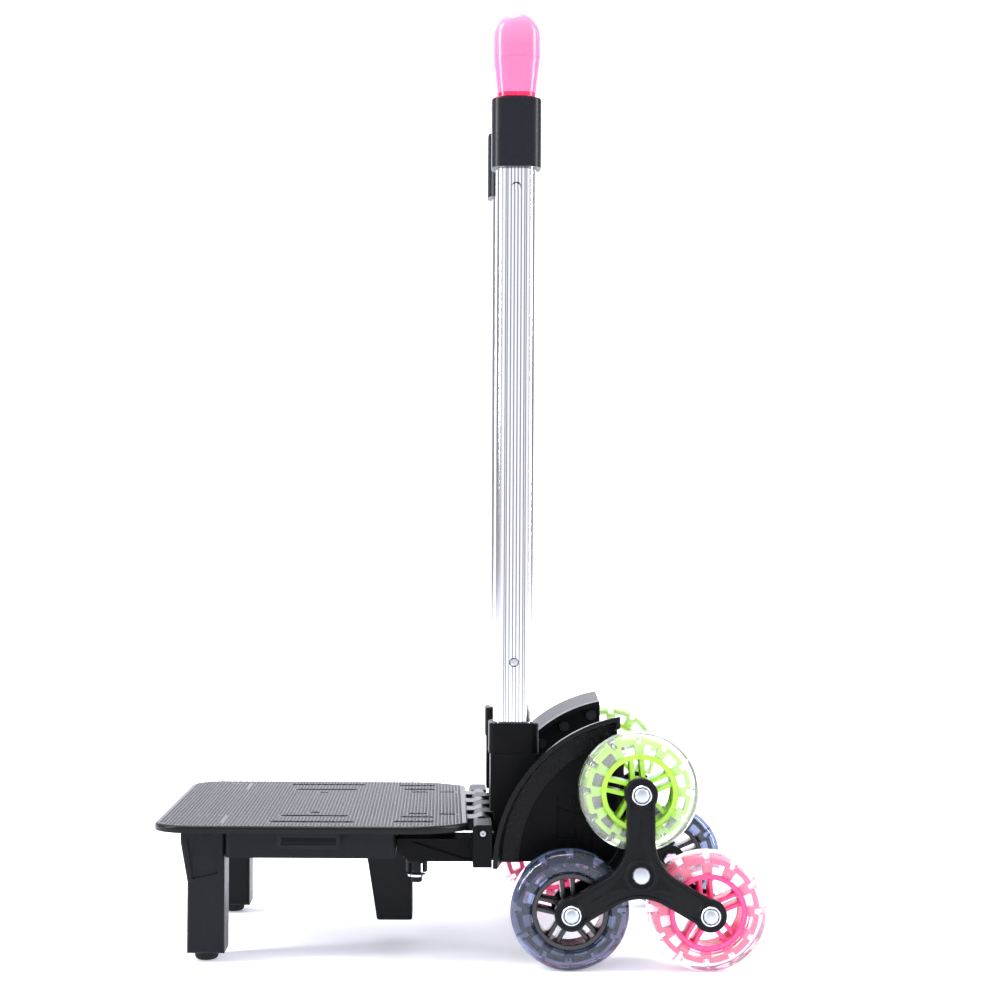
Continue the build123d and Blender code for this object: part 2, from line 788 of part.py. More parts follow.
def socket():
    """Left socket that the handle tube stands in."""
    low_z = outer_tube_bottom - 4.0
    depth = socket_depth - 2.0
    band = column(
        oval(socket_width, socket_depth, 5.0), tube_x, -tube_y, socket_top - socket_band, socket_top
    )
    rim = band.edges().filter_by_position(Axis.Z, socket_top, socket_top)
    band = fillet(rim, 1.2)
    x = (housing_front_x, tube_x + socket_width / 2 - 1)
    y = (-housing_half_width + 0.5, -tube_y + depth / 2)
    body = block(x, y, (recess_z, socket_top - socket_band))
    lower = block((recess_x, x[1]), y, (housing_bottom, recess_z))
    inside = (-housing_half_width + housing_wall, y[1] - housing_wall)
    hollow = block((recess_x + housing_wall, x[1] - housing_wall), inside, (housing_bottom, low_z))
    return band + body + lower - hollow


def cheek():
    """Left hinge lug beside the row of knuckles."""
    x = (hinge_x - cheek_half_length, arch_x - arch_radius - body_gap)
    lug = block(x, (-arch_outer_y, -knuckle_span), (frame_arm_bottom, hinge_z + cheek_top))
    front_top = lug.edges().filter_by(Axis.Y).sort_by(Axis.X)[:2].sort_by(Axis.Z)[-1]
    return fillet(front_top, cheek_round)


def frame_arm():
    """Left arm of the housing, which reaches forward under the plate."""
    x = (frame_arm_front_x, recess_x + 3)
    y = (-frame_arm_outer_y, -frame_arm_inner_y)
    z = (frame_arm_bottom, frame_arm_top)
    arm = block(x, y, z)
    nose = arm.edges().filter_by(Axis.Y).sort_by(Axis.X)[:2].sort_by(Axis.Z)[0]
    arm = chamfer(nose, frame_arm_nose)
    wall = frame_arm_wall
    hollow_x = (x[0] + frame_arm_nose + 2, recess_x - frame_arm_solid)
    arm -= block(hollow_x, (y[0] + wall, y[1] - wall), (z[0], z[1] - wall))
    behind = arch_x - arch_radius - body_gap
    arm -= block((behind, x[1] + 1), (y[0] - 1, -housing_half_width), z)
    cheek_x = hinge_x - cheek_half_length
    wedge = polygon(
        (x[0] + 9, z[1] - 2), (cheek_x - 4, z[0] + 1.4), (cheek_x, z[0] + 1.4), (cheek_x, z[1] - 1)
    )
    return arm - slab_y(wedge, y[0], y[0] + frame_arm_wedge_depth)


def latch_boss():
    """Post in the left arm that the spring latch is screwed into."""
    return rod_z(latch_x, -latch_y, latch_boss_radius, frame_arm_bottom, frame_arm_top)


def rear_housing():
    """The moulded housing: sides, sockets, cross walls, hinge knuckles and axle bosses."""
    inside = housing_half_width - housing_wall
    shell = both(side_wall() + socket() + cheek() + frame_arm()) + latch_boss()
    x = (recess_x, recess_x + housing_wall)
    back_x = tube_x + socket_width / 2 - 1
    across = (-inside - 0.5, inside + 0.5)
    shell += block(x, across, (housing_bottom, beam_top))
    shell += block((x[0], back_x), across, (beam_top - housing_wall, beam_top))
    shell += block((back_x - housing_wall, back_x), across, (beam_top - 28, beam_top))
    shell += block((x[0], housing_rear_x), across, (housing_bottom, housing_bottom + housing_wall))
    shell += block((housing_rear_x - housing_wall, housing_rear_x), across, (housing_bottom, rear_wall_top))
    web = polygon(
        (x[0] + 1, housing_bottom + 1),
        (x[0] + 1, beam_top - 1),
        (back_x - 1, beam_top - 1),
        (back_x - 1, outer_tube_bottom),
        (housing_rear_x - 1, rear_wall_top - 4),
        (hub_x, hub_z + support_radius - 1),
        (hub_x, hub_z - support_radius + 1),
        (housing_rear_x - 4, housing_bottom),
    )
    for y in (-rib_y, rib_y):
        shell += slab_y(web, y - rib / 2, y + rib / 2)
        shell += rod_y(hub_x, hub_z, support_radius, y - 4, y + 4)
    gusset = polygon(
        (gusset_x, housing_bottom),
        (gusset_x, gusset_top),
        (hub_x, hub_z + boss_radius),
        (hub_x, hub_z - boss_radius),
    )
    boss = rod_y(hub_x, hub_z, boss_radius, -boss_half_length, -housing_half_width + 10)
    boss += slab_y(gusset, -housing_half_width - 3, -housing_half_width + 6)
    shell += both(boss)
    for low, high in knuckle_limits(1):
        shell += rod_y(hinge_x, hinge_z, knuckle_radius, low, high)
        shell += block((hinge_x, x[1]), (low, high), (hinge_z - knuckle_radius, hinge_z + knuckle_radius))
    return shell


def clear_hinge(shell):
    """Cuts the room for the plate's knuckles, and the hinge pin's hole."""
    for low, high in knuckle_limits(0):
        room = (max(low - knuckle_gap / 2, -knuckle_span - 1), min(high + knuckle_gap / 2, knuckle_span + 1))
        shell -= rod_y(hinge_x, hinge_z, recess_radius - 0.2, *room)
    return shell


def finish_housing(shell):
    """Bores for the tubes, the axle, the hinge pin, the latch and the screws."""
    shell = clear_hinge(shell)
    shell -= rod_y(hinge_x, hinge_z, hinge_pin_radius + running_gap, -arch_outer_y, arch_outer_y)
    well = rod_y(
        hinge_x, hinge_z, hinge_pin_well_radius, -arch_outer_y, -arch_outer_y + hinge_pin_well_depth
    )
    shell -= both(well)
    shell -= rod_y(hub_x, hub_z, axle_radius + running_gap, -boss_half_length, boss_half_length)
    bore = oval(
        outer_tube_width + 2 * fit_gap, outer_tube_depth + 2 * fit_gap, outer_tube_corner + fit_gap
    )
    shell -= both(column(bore, tube_x, -tube_y, outer_tube_bottom, socket_top))
    shell -= rod_z(latch_x, -latch_y, latch_stem_radius + 0.3, frame_arm_bottom, frame_arm_top)
    guide_top = frame_arm_bottom + latch_tube_height
    shell -= rod_z(latch_x, -latch_y, latch_tube_radius + fit_gap / 2, frame_arm_bottom, guide_top)
    for x, z in socket_screw_places:
        hole = rod_y(x, z, small_screw_radius, -tube_y, -tube_y + socket_depth / 2)
        shell -= both(hole)
    for x, z in arch_screw_places:
        hole = rod_y(x, z, small_screw_radius, -housing_half_width, -housing_half_width + housing_wall)
        shell -= both(hole)
    return shell


socket_screw_places = [(tube_x, 143.0), (tube_x, 113.0)]
arch_screw_angles = (170.0, 134.0, 120.0, 106.0)
arch_screw_radius = arch_root_radius - arch_thickness - 6.0
arch_screw_places = [
    (
        arch_x + arch_screw_radius * math.cos(math.radians(angle)),
        hub_z + arch_screw_radius * math.sin(math.radians(angle)),
    )
    for angle in arch_screw_angles
]


def arch_band(thickness):
    """A full ring about the arch's centre that flares from the housing to its rim."""
    rim = arch_radius
    root = arch_root_radius
    section = polygon(
        (rim, -arch_outer_y),
        (root, -housing_half_width),
        (root, -arch_inner_y),
        (root - thickness, -arch_inner_y),
        (root - thickness, -housing_half_width),
        (rim - thickness, -arch_outer_y),
    )
    return Pos(arch_x, 0, hub_z) * revolve(section, axis=Axis.Y)


def wheel_arch():
    """Left wheel arch: a flared band over the wheels, with a flange against the side wall."""
    sides = (-arch_outer_y - 1, -arch_inner_y + 1)
    over = (housing_bottom, hub_z + arch_radius + 1)
    arch = arch_band(arch_thickness) & block((0, arch_end_x), sides, over)
    lip = arch_band(arch_thickness + arch_lip_drop)
    arch += lip & block((arch_end_x - arch_lip_width, arch_end_x), (sides[0], -housing_half_width), over)
    socket_x = tube_x + socket_width / 2 + body_gap / 2
    arch -= block((0, socket_x), (-housing_half_width, 0), (0, over[1]))
    inner = arch_root_radius - arch_thickness
    ring = Circle(inner + 0.5) - Circle(inner - arch_flange)
    window = Pos(arch_end_x / 2, (over[0] + over[1]) / 2) * Rectangle(arch_end_x, over[1] - over[0])
    flange = (Pos(arch_x, hub_z) * ring) & window
    arch += slab_y(flange, -housing_half_width - arch_flange_thickness, -housing_half_width)
    for x, z in arch_screw_places:
        arch -= rod_y(x, z, small_screw_radius, -housing_half_width - arch_screw_bite, -housing_half_width)
    return arch


def housing_screws():
    """Screws that hold the wheel arches and the handle tubes to the housing."""
    inner_face = -housing_half_width + housing_wall
    screws = []
    for x, z in arch_screw_places:
        screw = rod_y(x, z, small_head_radius, inner_face, inner_face + small_head_height)
        tip = -housing_half_width - arch_screw_bite + fit_gap
        screw += rod_y(x, z, small_screw_radius - fit_gap, inner_face, tip)
        screws.append(screw)
    inner_face = -tube_y + (socket_depth - 2.0) / 2
    for x, z in socket_screw_places:
        face = -tube_y + socket_depth / 2 if z > socket_top - socket_band else inner_face
        screw = rod_y(x, z, small_head_radius, face, face + small_head_height)
        tip = -tube_y + outer_tube_depth / 2 - outer_tube_wall - 1.5
        screw += rod_y(x, z, small_screw_radius - fit_gap, face, tip)
        screws.append(screw)
    return group(*screws, *[right(screw) for screw in screws])


def hinge_pin():
    """Steel pin through the cheeks and all the knuckles."""
    reach = arch_outer_y - hinge_pin_edge
    pin = rod_y(hinge_x, hinge_z, hinge_pin_radius, -reach, reach)
    pin = fillet(pin.edges().filter_by(GeomType.CIRCLE), hinge_pin_edge)
    hollow = rod_y(hinge_x, hinge_z, hinge_pin_bore, -reach, -reach + hinge_pin_bore_depth)
    return pin - both(hollow)


# ------------------------------------------------------------------ handle
def flutes(width_at, count):
    """Shallow grooves on both flat faces of a tube of that depth."""
    cuts = Sketch()
    for i in range(count):
        x = (i - (count - 1) / 2) * flute_pitch
        for side in (-1, 1):
            cuts += Pos(x, side * width_at / 2) * Rectangle(flute_width, 2 * flute_depth)
    return cuts


def outer_tube():
    """Left outer tube: fluted flat-oval aluminium with two lock holes."""
    section = oval(outer_tube_width, outer_tube_depth, outer_tube_corner)
    wall = outer_tube_wall
    section -= oval(outer_tube_width - 2 * wall, outer_tube_depth - 2 * wall, outer_tube_corner - wall)
    section -= flutes(outer_tube_depth, flute_count)
    tube = column(section, tube_x, -tube_y, outer_tube_bottom, outer_tube_top)
    for z in (lock_z, lock_z + handle_travel):
        tube -= rod_y(tube_x, z, lock_radius, -tube_y - outer_tube_depth / 2 - 1, -tube_y)
    for x, z in socket_screw_places:
        tube -= rod_y(x, z, small_screw_radius, -tube_y, -tube_y + outer_tube_depth)
    return tube


def inner_tube():
    """Left inner tube, which slides in the outer one."""
    section = oval(inner_tube_width, inner_tube_depth, inner_tube_corner)
    wall = inner_tube_wall
    section -= oval(inner_tube_width - 2 * wall, inner_tube_depth - 2 * wall, inner_tube_corner - wall)
    section -= flutes(inner_tube_depth, inner_flute_count)
    tube = column(section, tube_x, -tube_y, inner_tube_bottom, inner_tube_top)
    tube -= rod_y(tube_x, lock_z, lock_radius, -tube_y - inner_tube_depth, -tube_y)
    return tube


def guide_bushes():
    """Nylon bushes in the mouths of the outer tubes."""
    outside = oval(
        outer_tube_width - 2 * outer_tube_wall - 2 * fit_gap,
        outer_tube_depth - 2 * outer_tube_wall - 2 * fit_gap,
        outer_tube_corner - outer_tube_wall - fit_gap,
    )
    inside = oval(
        inner_tube_width + 2 * sliding_gap,
        inner_tube_depth + 2 * sliding_gap,
        inner_tube_corner + sliding_gap,
    )
    flange = oval(outer_tube_width, outer_tube_depth, outer_tube_corner)
    top = outer_tube_top + bush_flange
    bush = column(outside, tube_x, -tube_y, outer_tube_top - bush_length, outer_tube_top)
    bush += column(flange, tube_x, -tube_y, outer_tube_top, top)
    bush -= column(inside, tube_x, -tube_y, outer_tube_top - bush_length, top)
    return group(bush, right(bush))


def collar():
    """Left black collar over the mouth of the outer tube."""
    outside = oval(collar_width, collar_depth, collar_corner)
    body = column(outside, tube_x, -tube_y, collar_bottom, collar_top)
    ends = body.edges().filter_by_position(Axis.Z, collar_top, collar_top)
    body = fillet(ends, 1.4)
    pocket = oval(
        outer_tube_width + 2 * fit_gap, outer_tube_depth + 2 * fit_gap, outer_tube_corner + fit_gap
    )
    body -= column(pocket, tube_x, -tube_y, collar_bottom, collar_top - collar_lid)
    mouth = oval(inner_tube_width + 1.2, inner_tube_depth + 1.2, inner_tube_corner + 0.6)
    return body - column(mouth, tube_x, -tube_y, collar_top - collar_lid, collar_top)


def tube_plugs():
    """Plastic sliders on the lower ends of the inner tubes."""
    play = outer_tube_wall + sliding_gap
    outside = oval(
        outer_tube_width - 2 * play, outer_tube_depth - 2 * play, outer_tube_corner - play
    )
    pocket = oval(
        inner_tube_width + 2 * fit_gap, inner_tube_depth + 2 * fit_gap, inner_tube_corner + fit_gap
    )
    top = inner_tube_bottom + plug_lap
    plug = column(outside, tube_x, -tube_y, top - plug_length, top)
    plug -= column(pocket, tube_x, -tube_y, inner_tube_bottom, top)
    return group(plug, right(plug))


def lock_clips():
    """Leaf springs inside the inner tubes, each with a nose that stands in the lock hole."""
    inside = inner_tube_depth / 2 - inner_tube_wall
    face = -tube_y - inside + 0.2
    leaf = block(
        (tube_x - clip_width / 2, tube_x + clip_width / 2),
        (face, face + clip_thickness),
        (lock_z - 8.0, lock_z - 8.0 + clip_length),
    )
    tip = -tube_y - outer_tube_depth / 2 + 0.1
    nose = rod_y(tube_x, lock_z, lock_radius - 0.3, tip, face + 0.2)
    nose = fillet(nose.edges().filter_by_position(Axis.Y, tip, tip), 1.2)
    clip = leaf + nose
    return group(clip, right(clip))


# ------------------------------------------------------------------ grip
def cap_section(inset):
    """Cross-section of the grip's upper shell, in X and Z."""
    radius = grip_bar_width / 2 - inset
    height = cap_axis_z - grip_seam_z
    side = Pos(tube_x, grip_seam_z + height / 2) * Rectangle(2 * radius, height)
    return side + Pos(tube_x, cap_axis_z) * Circle(radius)


def button_shape(clearance):
    half_x = button_half_width + clearance
    half_y = button_half_length + clearance
    outline = oval(2 * half_x, 2 * half_y, 3.0 + clearance)
    return column(outline, tube_x, 0, yoke_top, grip_top + 1)


def grip_cap():
    """Upper shell of the grip, hollow, with the button's opening on top."""
    below = (grip_seam_z - 100, grip_seam_z)
    lower_trim = block((tube_x - 50, tube_x + 50), (-100, 100), below)
    cap = slab_y(cap_section(0), -grip_half_width, grip_half_width) - lower_trim
    ends = cap.edges().filter_by_position(Axis.Y, -grip_half_width, -grip_half_width)
    ends += cap.edges().filter_by_position(Axis.Y, grip_half_width, grip_half_width)
    ends = ends.filter_by(lambda edge: edge.center().Z > grip_seam_z + 1)
    cap = fillet(ends, grip_end_radius)
    inside = grip_half_width - grip_wall
    cap -= slab_y(cap_section(grip_wall), -inside, inside) - lower_trim
    for y in grip_screw_places:
        cap += rod_z(tube_x, y, small_head_radius, grip_seam_z, grip_top - 4)
        cap -= rod_z(tube_x, y, small_screw_radius, grip_seam_z, grip_seam_z + 10)
    return cap - button_shape(0.3)


grip_screw_places = (-32.0, 32.0)


def grip_body():
    """Lower shell of the grip: two stems on the inner tubes and the bar between them."""
    stem_foot = Pos(tube_x, -tube_y, grip_bottom) * oval(grip_stem_width, grip_stem_depth, 8.0)
    stem_top = Pos(tube_x, -tube_y, grip_seam_z) * oval(grip_bar_width, 2 * (grip_half_width - tube_y), 10.0)
    stem = loft([stem_foot, stem_top])
    x = (tube_x - grip_bar_width / 2, tube_x + grip_bar_width / 2)
    bar = block(x, (-tube_y, tube_y), (grip_bar_bottom, grip_seam_z))
    bar = fillet(bar.edges().filter_by(Axis.Y).sort_by(Axis.Z)[:2], 7.0)
    body = both(stem) + bar
    pocket = oval(
        inner_tube_width + 2 * fit_gap, inner_tube_depth + 2 * fit_gap, inner_tube_corner + fit_gap
    )
    body -= both(column(pocket, tube_x, -tube_y, grip_bottom, inner_tube_top))
    body -= both(rod_z(tube_x, -tube_y, rod_radius + 0.4, inner_tube_top, grip_seam_z))
    body -= rod_z(tube_x, 0, spring_radius + 0.5, grip_seam_z - spring_well, grip_seam_z)
    for y in grip_screw_places:
        body -= rod_z(tube_x, y, small_screw_radius, grip_bar_bottom, grip_seam_z)
        body -= rod_z(tube_x, y, small_head_radius + 0.4, grip_bar_bottom, grip_bar_bottom + 4)
    return body


def grip_screws():
    """Screws that hold the two grip shells together, from below."""
    screws = []
    seat = grip_bar_bottom + 4
    for y in grip_screw_places:
        head = rod_z(tube_x, y, small_head_radius, seat - small_head_height, seat)
        shank = rod_z(tube_x, y, small_screw_radius - fit_gap, seat, grip_seam_z + 9)
        screws.append(head + shank)
    return group(*screws)


def release_button():
    """Push button in the top of the grip, flush with its curve."""
    dome = rod_y(tube_x, cap_axis_z, grip_bar_width / 2 - 0.2, -button_half_length, button_half_length)
    stem = block((tube_x - 50, tube_x + 50), (-50, 50), (yoke_top, cap_axis_z))
    return button_shape(0) & (dome + stem)


def release_yoke():
    """Bar inside the grip that carries the button's push to both rods."""
    x = (tube_x - yoke_half_width, tube_x + yoke_half_width)
    bar = block(x, (-tube_y - 4, tube_y + 4), (yoke_bottom, yoke_top))
    for y in grip_screw_places:
        bar -= rod_z(tube_x, y, small_head_radius + body_gap, yoke_bottom, yoke_top)
        wide = yoke_half_width + 3.0
        ring = rod_z(tube_x, y, wide, yoke_bottom, yoke_top)
        bar += ring - rod_z(tube_x, y, small_head_radius + body_gap, yoke_bottom, yoke_top)
    return bar


def push_rods():
    """Steel rods from the yoke down to the lock clips."""
    rod = rod_z(tube_x, -tube_y, rod_radius, rod_bottom, yoke_bottom)
    return group(rod, right(rod))


def coil(x, y, radius, wire, z_from, z_to, turns):
    """A spring drawn as a wavy sleeve with one ring for each turn."""
    pitch = (z_to - z_from) / turns
    ring = Circle(wire)
    section = Sketch()
    for i in range(turns):
        section += Pos(radius - wire, z_from + pitch * (i + 0.5)) * ring
    wall = Pos(radius - wire, (z_from + z_to) / 2) * Rectangle(wire * 0.5, z_to - z_from)
    wave = Plane.XZ * (section + wall)
    return Pos(x, y, 0) * revolve(wave, axis=Axis.Z)


def button_spring():
    """Spring that lifts the yoke and the button."""
    return coil(tube_x, 0, spring_radius, spring_wire, grip_seam_z - spring_well, yoke_bottom, 6)


# ------------------------------------------------------------------ latch
def latch_guide():
    """Castellated sleeve with a tube that is pressed into the frame arm."""
    top = frame_arm_bottom + latch_tube_height
    guide = rod_z(latch_x, -latch_y, latch_sleeve_radius, latch_sleeve_bottom, frame_arm_bottom)
    for i in range(latch_sleeve_slots // 2):
        slot = block(
            (-latch_sleeve_radius - 1, latch_sleeve_radius + 1),
            (-latch_slot_width / 2, latch_slot_width / 2),
            (latch_sleeve_bottom - 1, frame_arm_bottom - 3.0),
        )
        guide -= Pos(latch_x, -latch_y, 0) * Rot(0, 0, i * 360 / latch_sleeve_slots) * slot
    guide -= rod_z(latch_x, -latch_y, latch_tube_radius, latch_sleeve_bottom - 1, frame_arm_bottom - 3.0)
    guide += rod_z(latch_x, -latch_y, latch_tube_radius, frame_arm_bottom - 1, top)
    guide -= rod_z(latch_x, -latch_y, latch_tube_radius - latch_tube_wall, frame_arm_bottom, top)
    return guide - rod_z(latch_x, -latch_y, latch_stem_radius + running_gap, latch_sleeve_bottom, top)


def latch_plunger():
    """Plunger with its pull button below and a shoulder for the spring."""
    knob = rod_z(latch_x, -latch_y, latch_button_radius, latch_button_bottom, latch_button_top)
    knob = fillet(knob.edges().filter_by_position(Axis.Z, latch_button_bottom, latch_button_bottom), 1.0)
    nose = frame_arm_top - 0.4
    knob += rod_z(latch_x, -latch_y, latch_stem_radius, latch_button_top, nose)
    shoulder_top = latch_shoulder_z + latch_shoulder_height
    return knob + rod_z(latch_x, -latch_y, latch_spring_radius, latch_shoulder_z, shoulder_top)


def latch_ring():
    """Bright washer on the plunger, above its button."""
    top = latch_button_top + latch_ring_height
    ring = rod_z(latch_x, -latch_y, latch_ring_radius, latch_button_top, top)
    return ring - rod_z(latch_x, -latch_y, latch_stem_radius + fit_gap / 2, latch_button_top, top)


def latch_spring():
    """Spring in the guide, which pushes the plunger up."""
    return coil(latch_x, -latch_y, latch_spring_radius, latch_wire, frame_arm_bottom, latch_shoulder_z, 5)


# ------------------------------------------------------------------ write the pieces
keep("rear_housing", finish_housing(rear_housing()))
keep("hinge_pin", hinge_pin())
keep("main_axle", axle())
keep("axle_bolts", axle_bolts())
keep("housing_screws", housing_screws())
keep("guide_bushes", guide_bushes())
keep("latch_guide", latch_guide())
keep("latch_plunger", latch_plunger())
keep("latch_ring", latch_ring())
keep("latch_spring", latch_spring())

keep("load_plate", drill_deck(load_plate()))
keep("plate_underframe", underframe())
keep("centre_leg", centre_leg())
keep("plate_screws", plate_screws())

keep("grip_body", grip_body())
keep("grip_cap", grip_cap())
keep("grip_screws", grip_screws())
keep("tube_plugs", tube_plugs())
keep("lock_clips", lock_clips())
keep("release_button", release_button())
keep("release_yoke", release_yoke())
keep("push_rods", push_rods())
keep("button_spring", button_spring())

# Handed pieces: each is made for the left and mirrored for the right.
handed = {
    "wheel_arch": wheel_arch,
    "outer_tube": outer_tube,
    "inner_tube": inner_tube,
    "tube_collar": collar,
    "front_leg": front_leg,
    "rubber_foot": rubber_foot,
    "strap_loop": strap_loop,
    "spider_outer_arm": outer_arm,
    "spider_inner_arm": inner_arm,
    "wheel_bolts": wheel_bolts,
    "wheel_nuts": wheel_nuts,
    "wheel_sleeves": wheel_sleeves,
}
for name, make in handed.items():
    piece = make()
    keep(f"left_{name}", piece)
    keep(f"right_{name}", group(right(piece)))

core = wheel_core()
tyre = wheel_tyre()
for side, y in (("left", -wheel_mid_y), ("right", wheel_mid_y)):
    for place, (x, z) in wheel_places.items():
        spot = Pos(hub_x + x, y, hub_z + z)
        keep(f"{side}_{place}_wheel_core", spot * core)
        keep(f"{side}_{place}_wheel_tyre", spot * tyre)
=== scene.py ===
import math

import bmesh
import bpy
from mathutils import Matrix, Vector


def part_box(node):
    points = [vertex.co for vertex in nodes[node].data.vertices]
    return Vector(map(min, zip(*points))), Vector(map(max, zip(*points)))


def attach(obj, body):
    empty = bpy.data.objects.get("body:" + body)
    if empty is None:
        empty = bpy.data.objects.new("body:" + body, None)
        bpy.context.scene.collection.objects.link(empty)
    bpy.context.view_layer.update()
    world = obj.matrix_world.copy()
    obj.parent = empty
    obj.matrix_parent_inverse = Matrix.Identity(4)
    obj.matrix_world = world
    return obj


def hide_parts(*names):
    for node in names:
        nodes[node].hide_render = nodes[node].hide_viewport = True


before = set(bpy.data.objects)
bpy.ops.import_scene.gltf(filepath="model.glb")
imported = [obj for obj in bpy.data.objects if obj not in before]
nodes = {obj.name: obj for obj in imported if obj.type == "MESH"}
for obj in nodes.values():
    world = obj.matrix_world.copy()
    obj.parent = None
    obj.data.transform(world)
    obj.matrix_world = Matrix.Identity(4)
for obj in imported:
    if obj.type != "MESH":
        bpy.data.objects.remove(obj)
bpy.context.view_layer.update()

# ------------------------------------------------------------------ rear housing
# The moulded body that everything hangs on: sockets for the tubes, side walls, hinge
# knuckles and axle bosses. Injection moulded ABS, with a fine spark-eroded grain all
# over it that breaks every reflection into a soft, slightly speckled sheen.


def linear(colour):
    """An sRGB hex colour as linear values."""
    values = [int(colour[i:i + 2], 16) / 255 for i in (0, 2, 4)]
    return [v / 12.92 if v <= 0.04045 else ((v + 0.055) / 1.055) ** 2.4 for v in values] + [1.0]


def add(tree, kind, inputs, **settings):
    """Adds a node. Each input takes a plain value or the output that is linked to it."""
    node = tree.nodes.new("ShaderNode" + kind)
    for key, value in settings.items():
        setattr(node, key, value)
    for key, value in inputs.items():
        if isinstance(value, bpy.types.NodeSocket):
            tree.links.new(value, node.inputs[key])
        else:
            node.inputs[key].default_value = value
    return node


def start_material(name, **inputs):
    """A new material with its own shader values. Input names have _ for a space."""
    material = bpy.data.materials.new(name)
    material.use_nodes = True
    shader = material.node_tree.nodes["Principled BSDF"]
    for key, value in inputs.items():
        shader.inputs[key.replace("_", " ")].default_value = value
    return material.node_tree, shader, material


def moulded_black(name, colour, worn, rough, grain_mm, depth_mm, gloss=0.3, edge_mm=0.5):
    """Black moulding: a cloudy colour, a grained surface and softened edges."""
    tree, shader, material = start_material(name, Specular_IOR_Level=gloss)
    place = add(tree, "TexCoord", {}).outputs["Object"]
    clouds = add(tree, "TexNoise", {"Vector": place, "Scale": 1000 / 60, "Detail": 4.0})
    tint = add(tree, "Mix", {"Factor": clouds.outputs["Fac"], 6: linear(colour), 7: linear(worn)},
               data_type="RGBA")
    grain = add(tree, "TexNoise", {"Vector": place, "Scale": 1000 / grain_mm, "Detail": 2.0})
    polish = add(tree, "MapRange", {"Value": grain.outputs["Fac"], "From Min": 0.3, "From Max": 0.7,
                                    "To Min": rough - 0.07, "To Max": rough + 0.07})
    edge = add(tree, "Bevel", {"Radius": edge_mm / 1000}, samples=6)
    relief = add(tree, "Bump", {"Height": grain.outputs["Fac"], "Distance": depth_mm / 1000,
                                "Strength": 0.6, "Normal": edge.outputs["Normal"]})
    tree.links.new(tint.outputs["Result"], shader.inputs["Base Color"])
    tree.links.new(polish.outputs["Result"], shader.inputs["Roughness"])
    tree.links.new(relief.outputs["Normal"], shader.inputs["Normal"])
    return material


def dress(node, material):
    """Gives a frame node its material."""
    piece = nodes[node]
    piece.data.materials.clear()
    piece.data.materials.append(material)


# Grained ABS: the real grain is near 0.3 mm, drawn at 0.9 mm so that it shows.
grained_abs = moulded_black("abs_grained", "0e0f13", "14151a", 0.4, 0.9, 0.14, 0.12)
housing_abs = moulded_black("abs_grained_deep_black", "060607", "0a0b0d", 0.4, 0.9, 0.1, 0.07)
dress("rear_housing", housing_abs)

# ------------------------------------------------------------------ wheel arches
# Curved guards over the wheels, ABS from the same tool shop but polished a little
# finer, screwed to the housing's sides from within.
arch_abs = moulded_black("abs_fine_grained", "070709", "0b0c0f", 0.3, 0.7, 0.05, 0.12)
for side in ("left", "right"):
    dress(f"{side}_wheel_arch", arch_abs)

# ------------------------------------------------------------------ screws and hinge pin
# Self-tapping screws and the hinge pin: drawn steel with a thin bright zinc plate,
# so a sharp but slightly cloudy metal reflection.


def plated(name, colour, rough, blotch_mm):
    """Plated or drawn metal with a cloudy polish."""
    tree, shader, material = start_material(name, Metallic=1.0, Base_Color=linear(colour))
    place = add(tree, "TexCoord", {}).outputs["Object"]
    blotch = add(tree, "TexNoise", {"Vector": place, "Scale": 1000 / blotch_mm, "Detail": 5.0})
    polish = add(tree, "MapRange", {"Value": blotch.outputs["Fac"], "From Min": 0.3, "From Max": 0.7,
                                    "To Min": rough - 0.08, "To Max": rough + 0.1})
    relief = add(tree, "Bump", {"Height": blotch.outputs["Fac"], "Distance": 0.00004, "Strength": 0.4})
    tree.links.new(polish.outputs["Result"], shader.inputs["Roughness"])
    tree.links.new(relief.outputs["Normal"], shader.inputs["Normal"])
    return material


drawn_steel = plated("steel_drawn", "a9abb0", 0.34, 1.2)
zinc = plated("steel_zinc_plated", "ccd2d8", 0.24, 2.0)
# Black oxide steel is the screws' finish; on the hub bolts' washers it is painted shade.
black_oxide_and_well_shade = plated("steel_black_oxide_and_well_shade", "2c2d31", 0.42, 1.5)
for node in ("housing_screws", "plate_screws"):
    dress(node, black_oxide_and_well_shade)
for node in ("hinge_pin", "grip_screws", "main_axle", "push_rods",
             "lock_clips", "button_spring", "latch_spring", "left_wheel_sleeves", "right_wheel_sleeves"):
    dress(node, drawn_steel)
for node in ("axle_bolts", "latch_ring", "left_wheel_nuts", "right_wheel_nuts"):
    dress(node, zinc)

# ------------------------------------------------------------------ outer and inner tubes
# Flat-oval aluminium extrusions with fine flutes on both broad faces. Bright
# anodised: a clean metal reflection, drawn out along the tube by the extrusion lines.
# The flutes and a thin line along both edges of the fluted field are painted a darker grey, as painted shade
# in the grooves and at the edges.
tree, shader, bright_anodised = start_material("aluminium_bright_anodised", Metallic=1.0)
place = add(tree, "TexCoord", {}).outputs["Object"]
tube_low, tube_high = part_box("left_outer_tube")
tube_middle = (tube_low.x + tube_high.x) / 2
flute_pitch = 0.00225
flute_field = 0.0068
across = add(tree, "Math", {0: add(tree, "SeparateXYZ", {"Vector": place}).outputs["X"], 1: tube_middle},
             operation="SUBTRACT").outputs["Value"]
turn = add(tree, "Math", {0: across, 1: 1 / flute_pitch, 2: 0.5}, operation="MULTIPLY_ADD")
phase = add(tree, "Math", {0: turn.outputs["Value"], 1: 1.0}, operation="FLOORED_MODULO")
from_land = add(tree, "Math", {0: phase.outputs["Value"], 1: 0.5}, operation="SUBTRACT")
off_land = add(tree, "Math", {0: from_land.outputs["Value"]}, operation="ABSOLUTE")
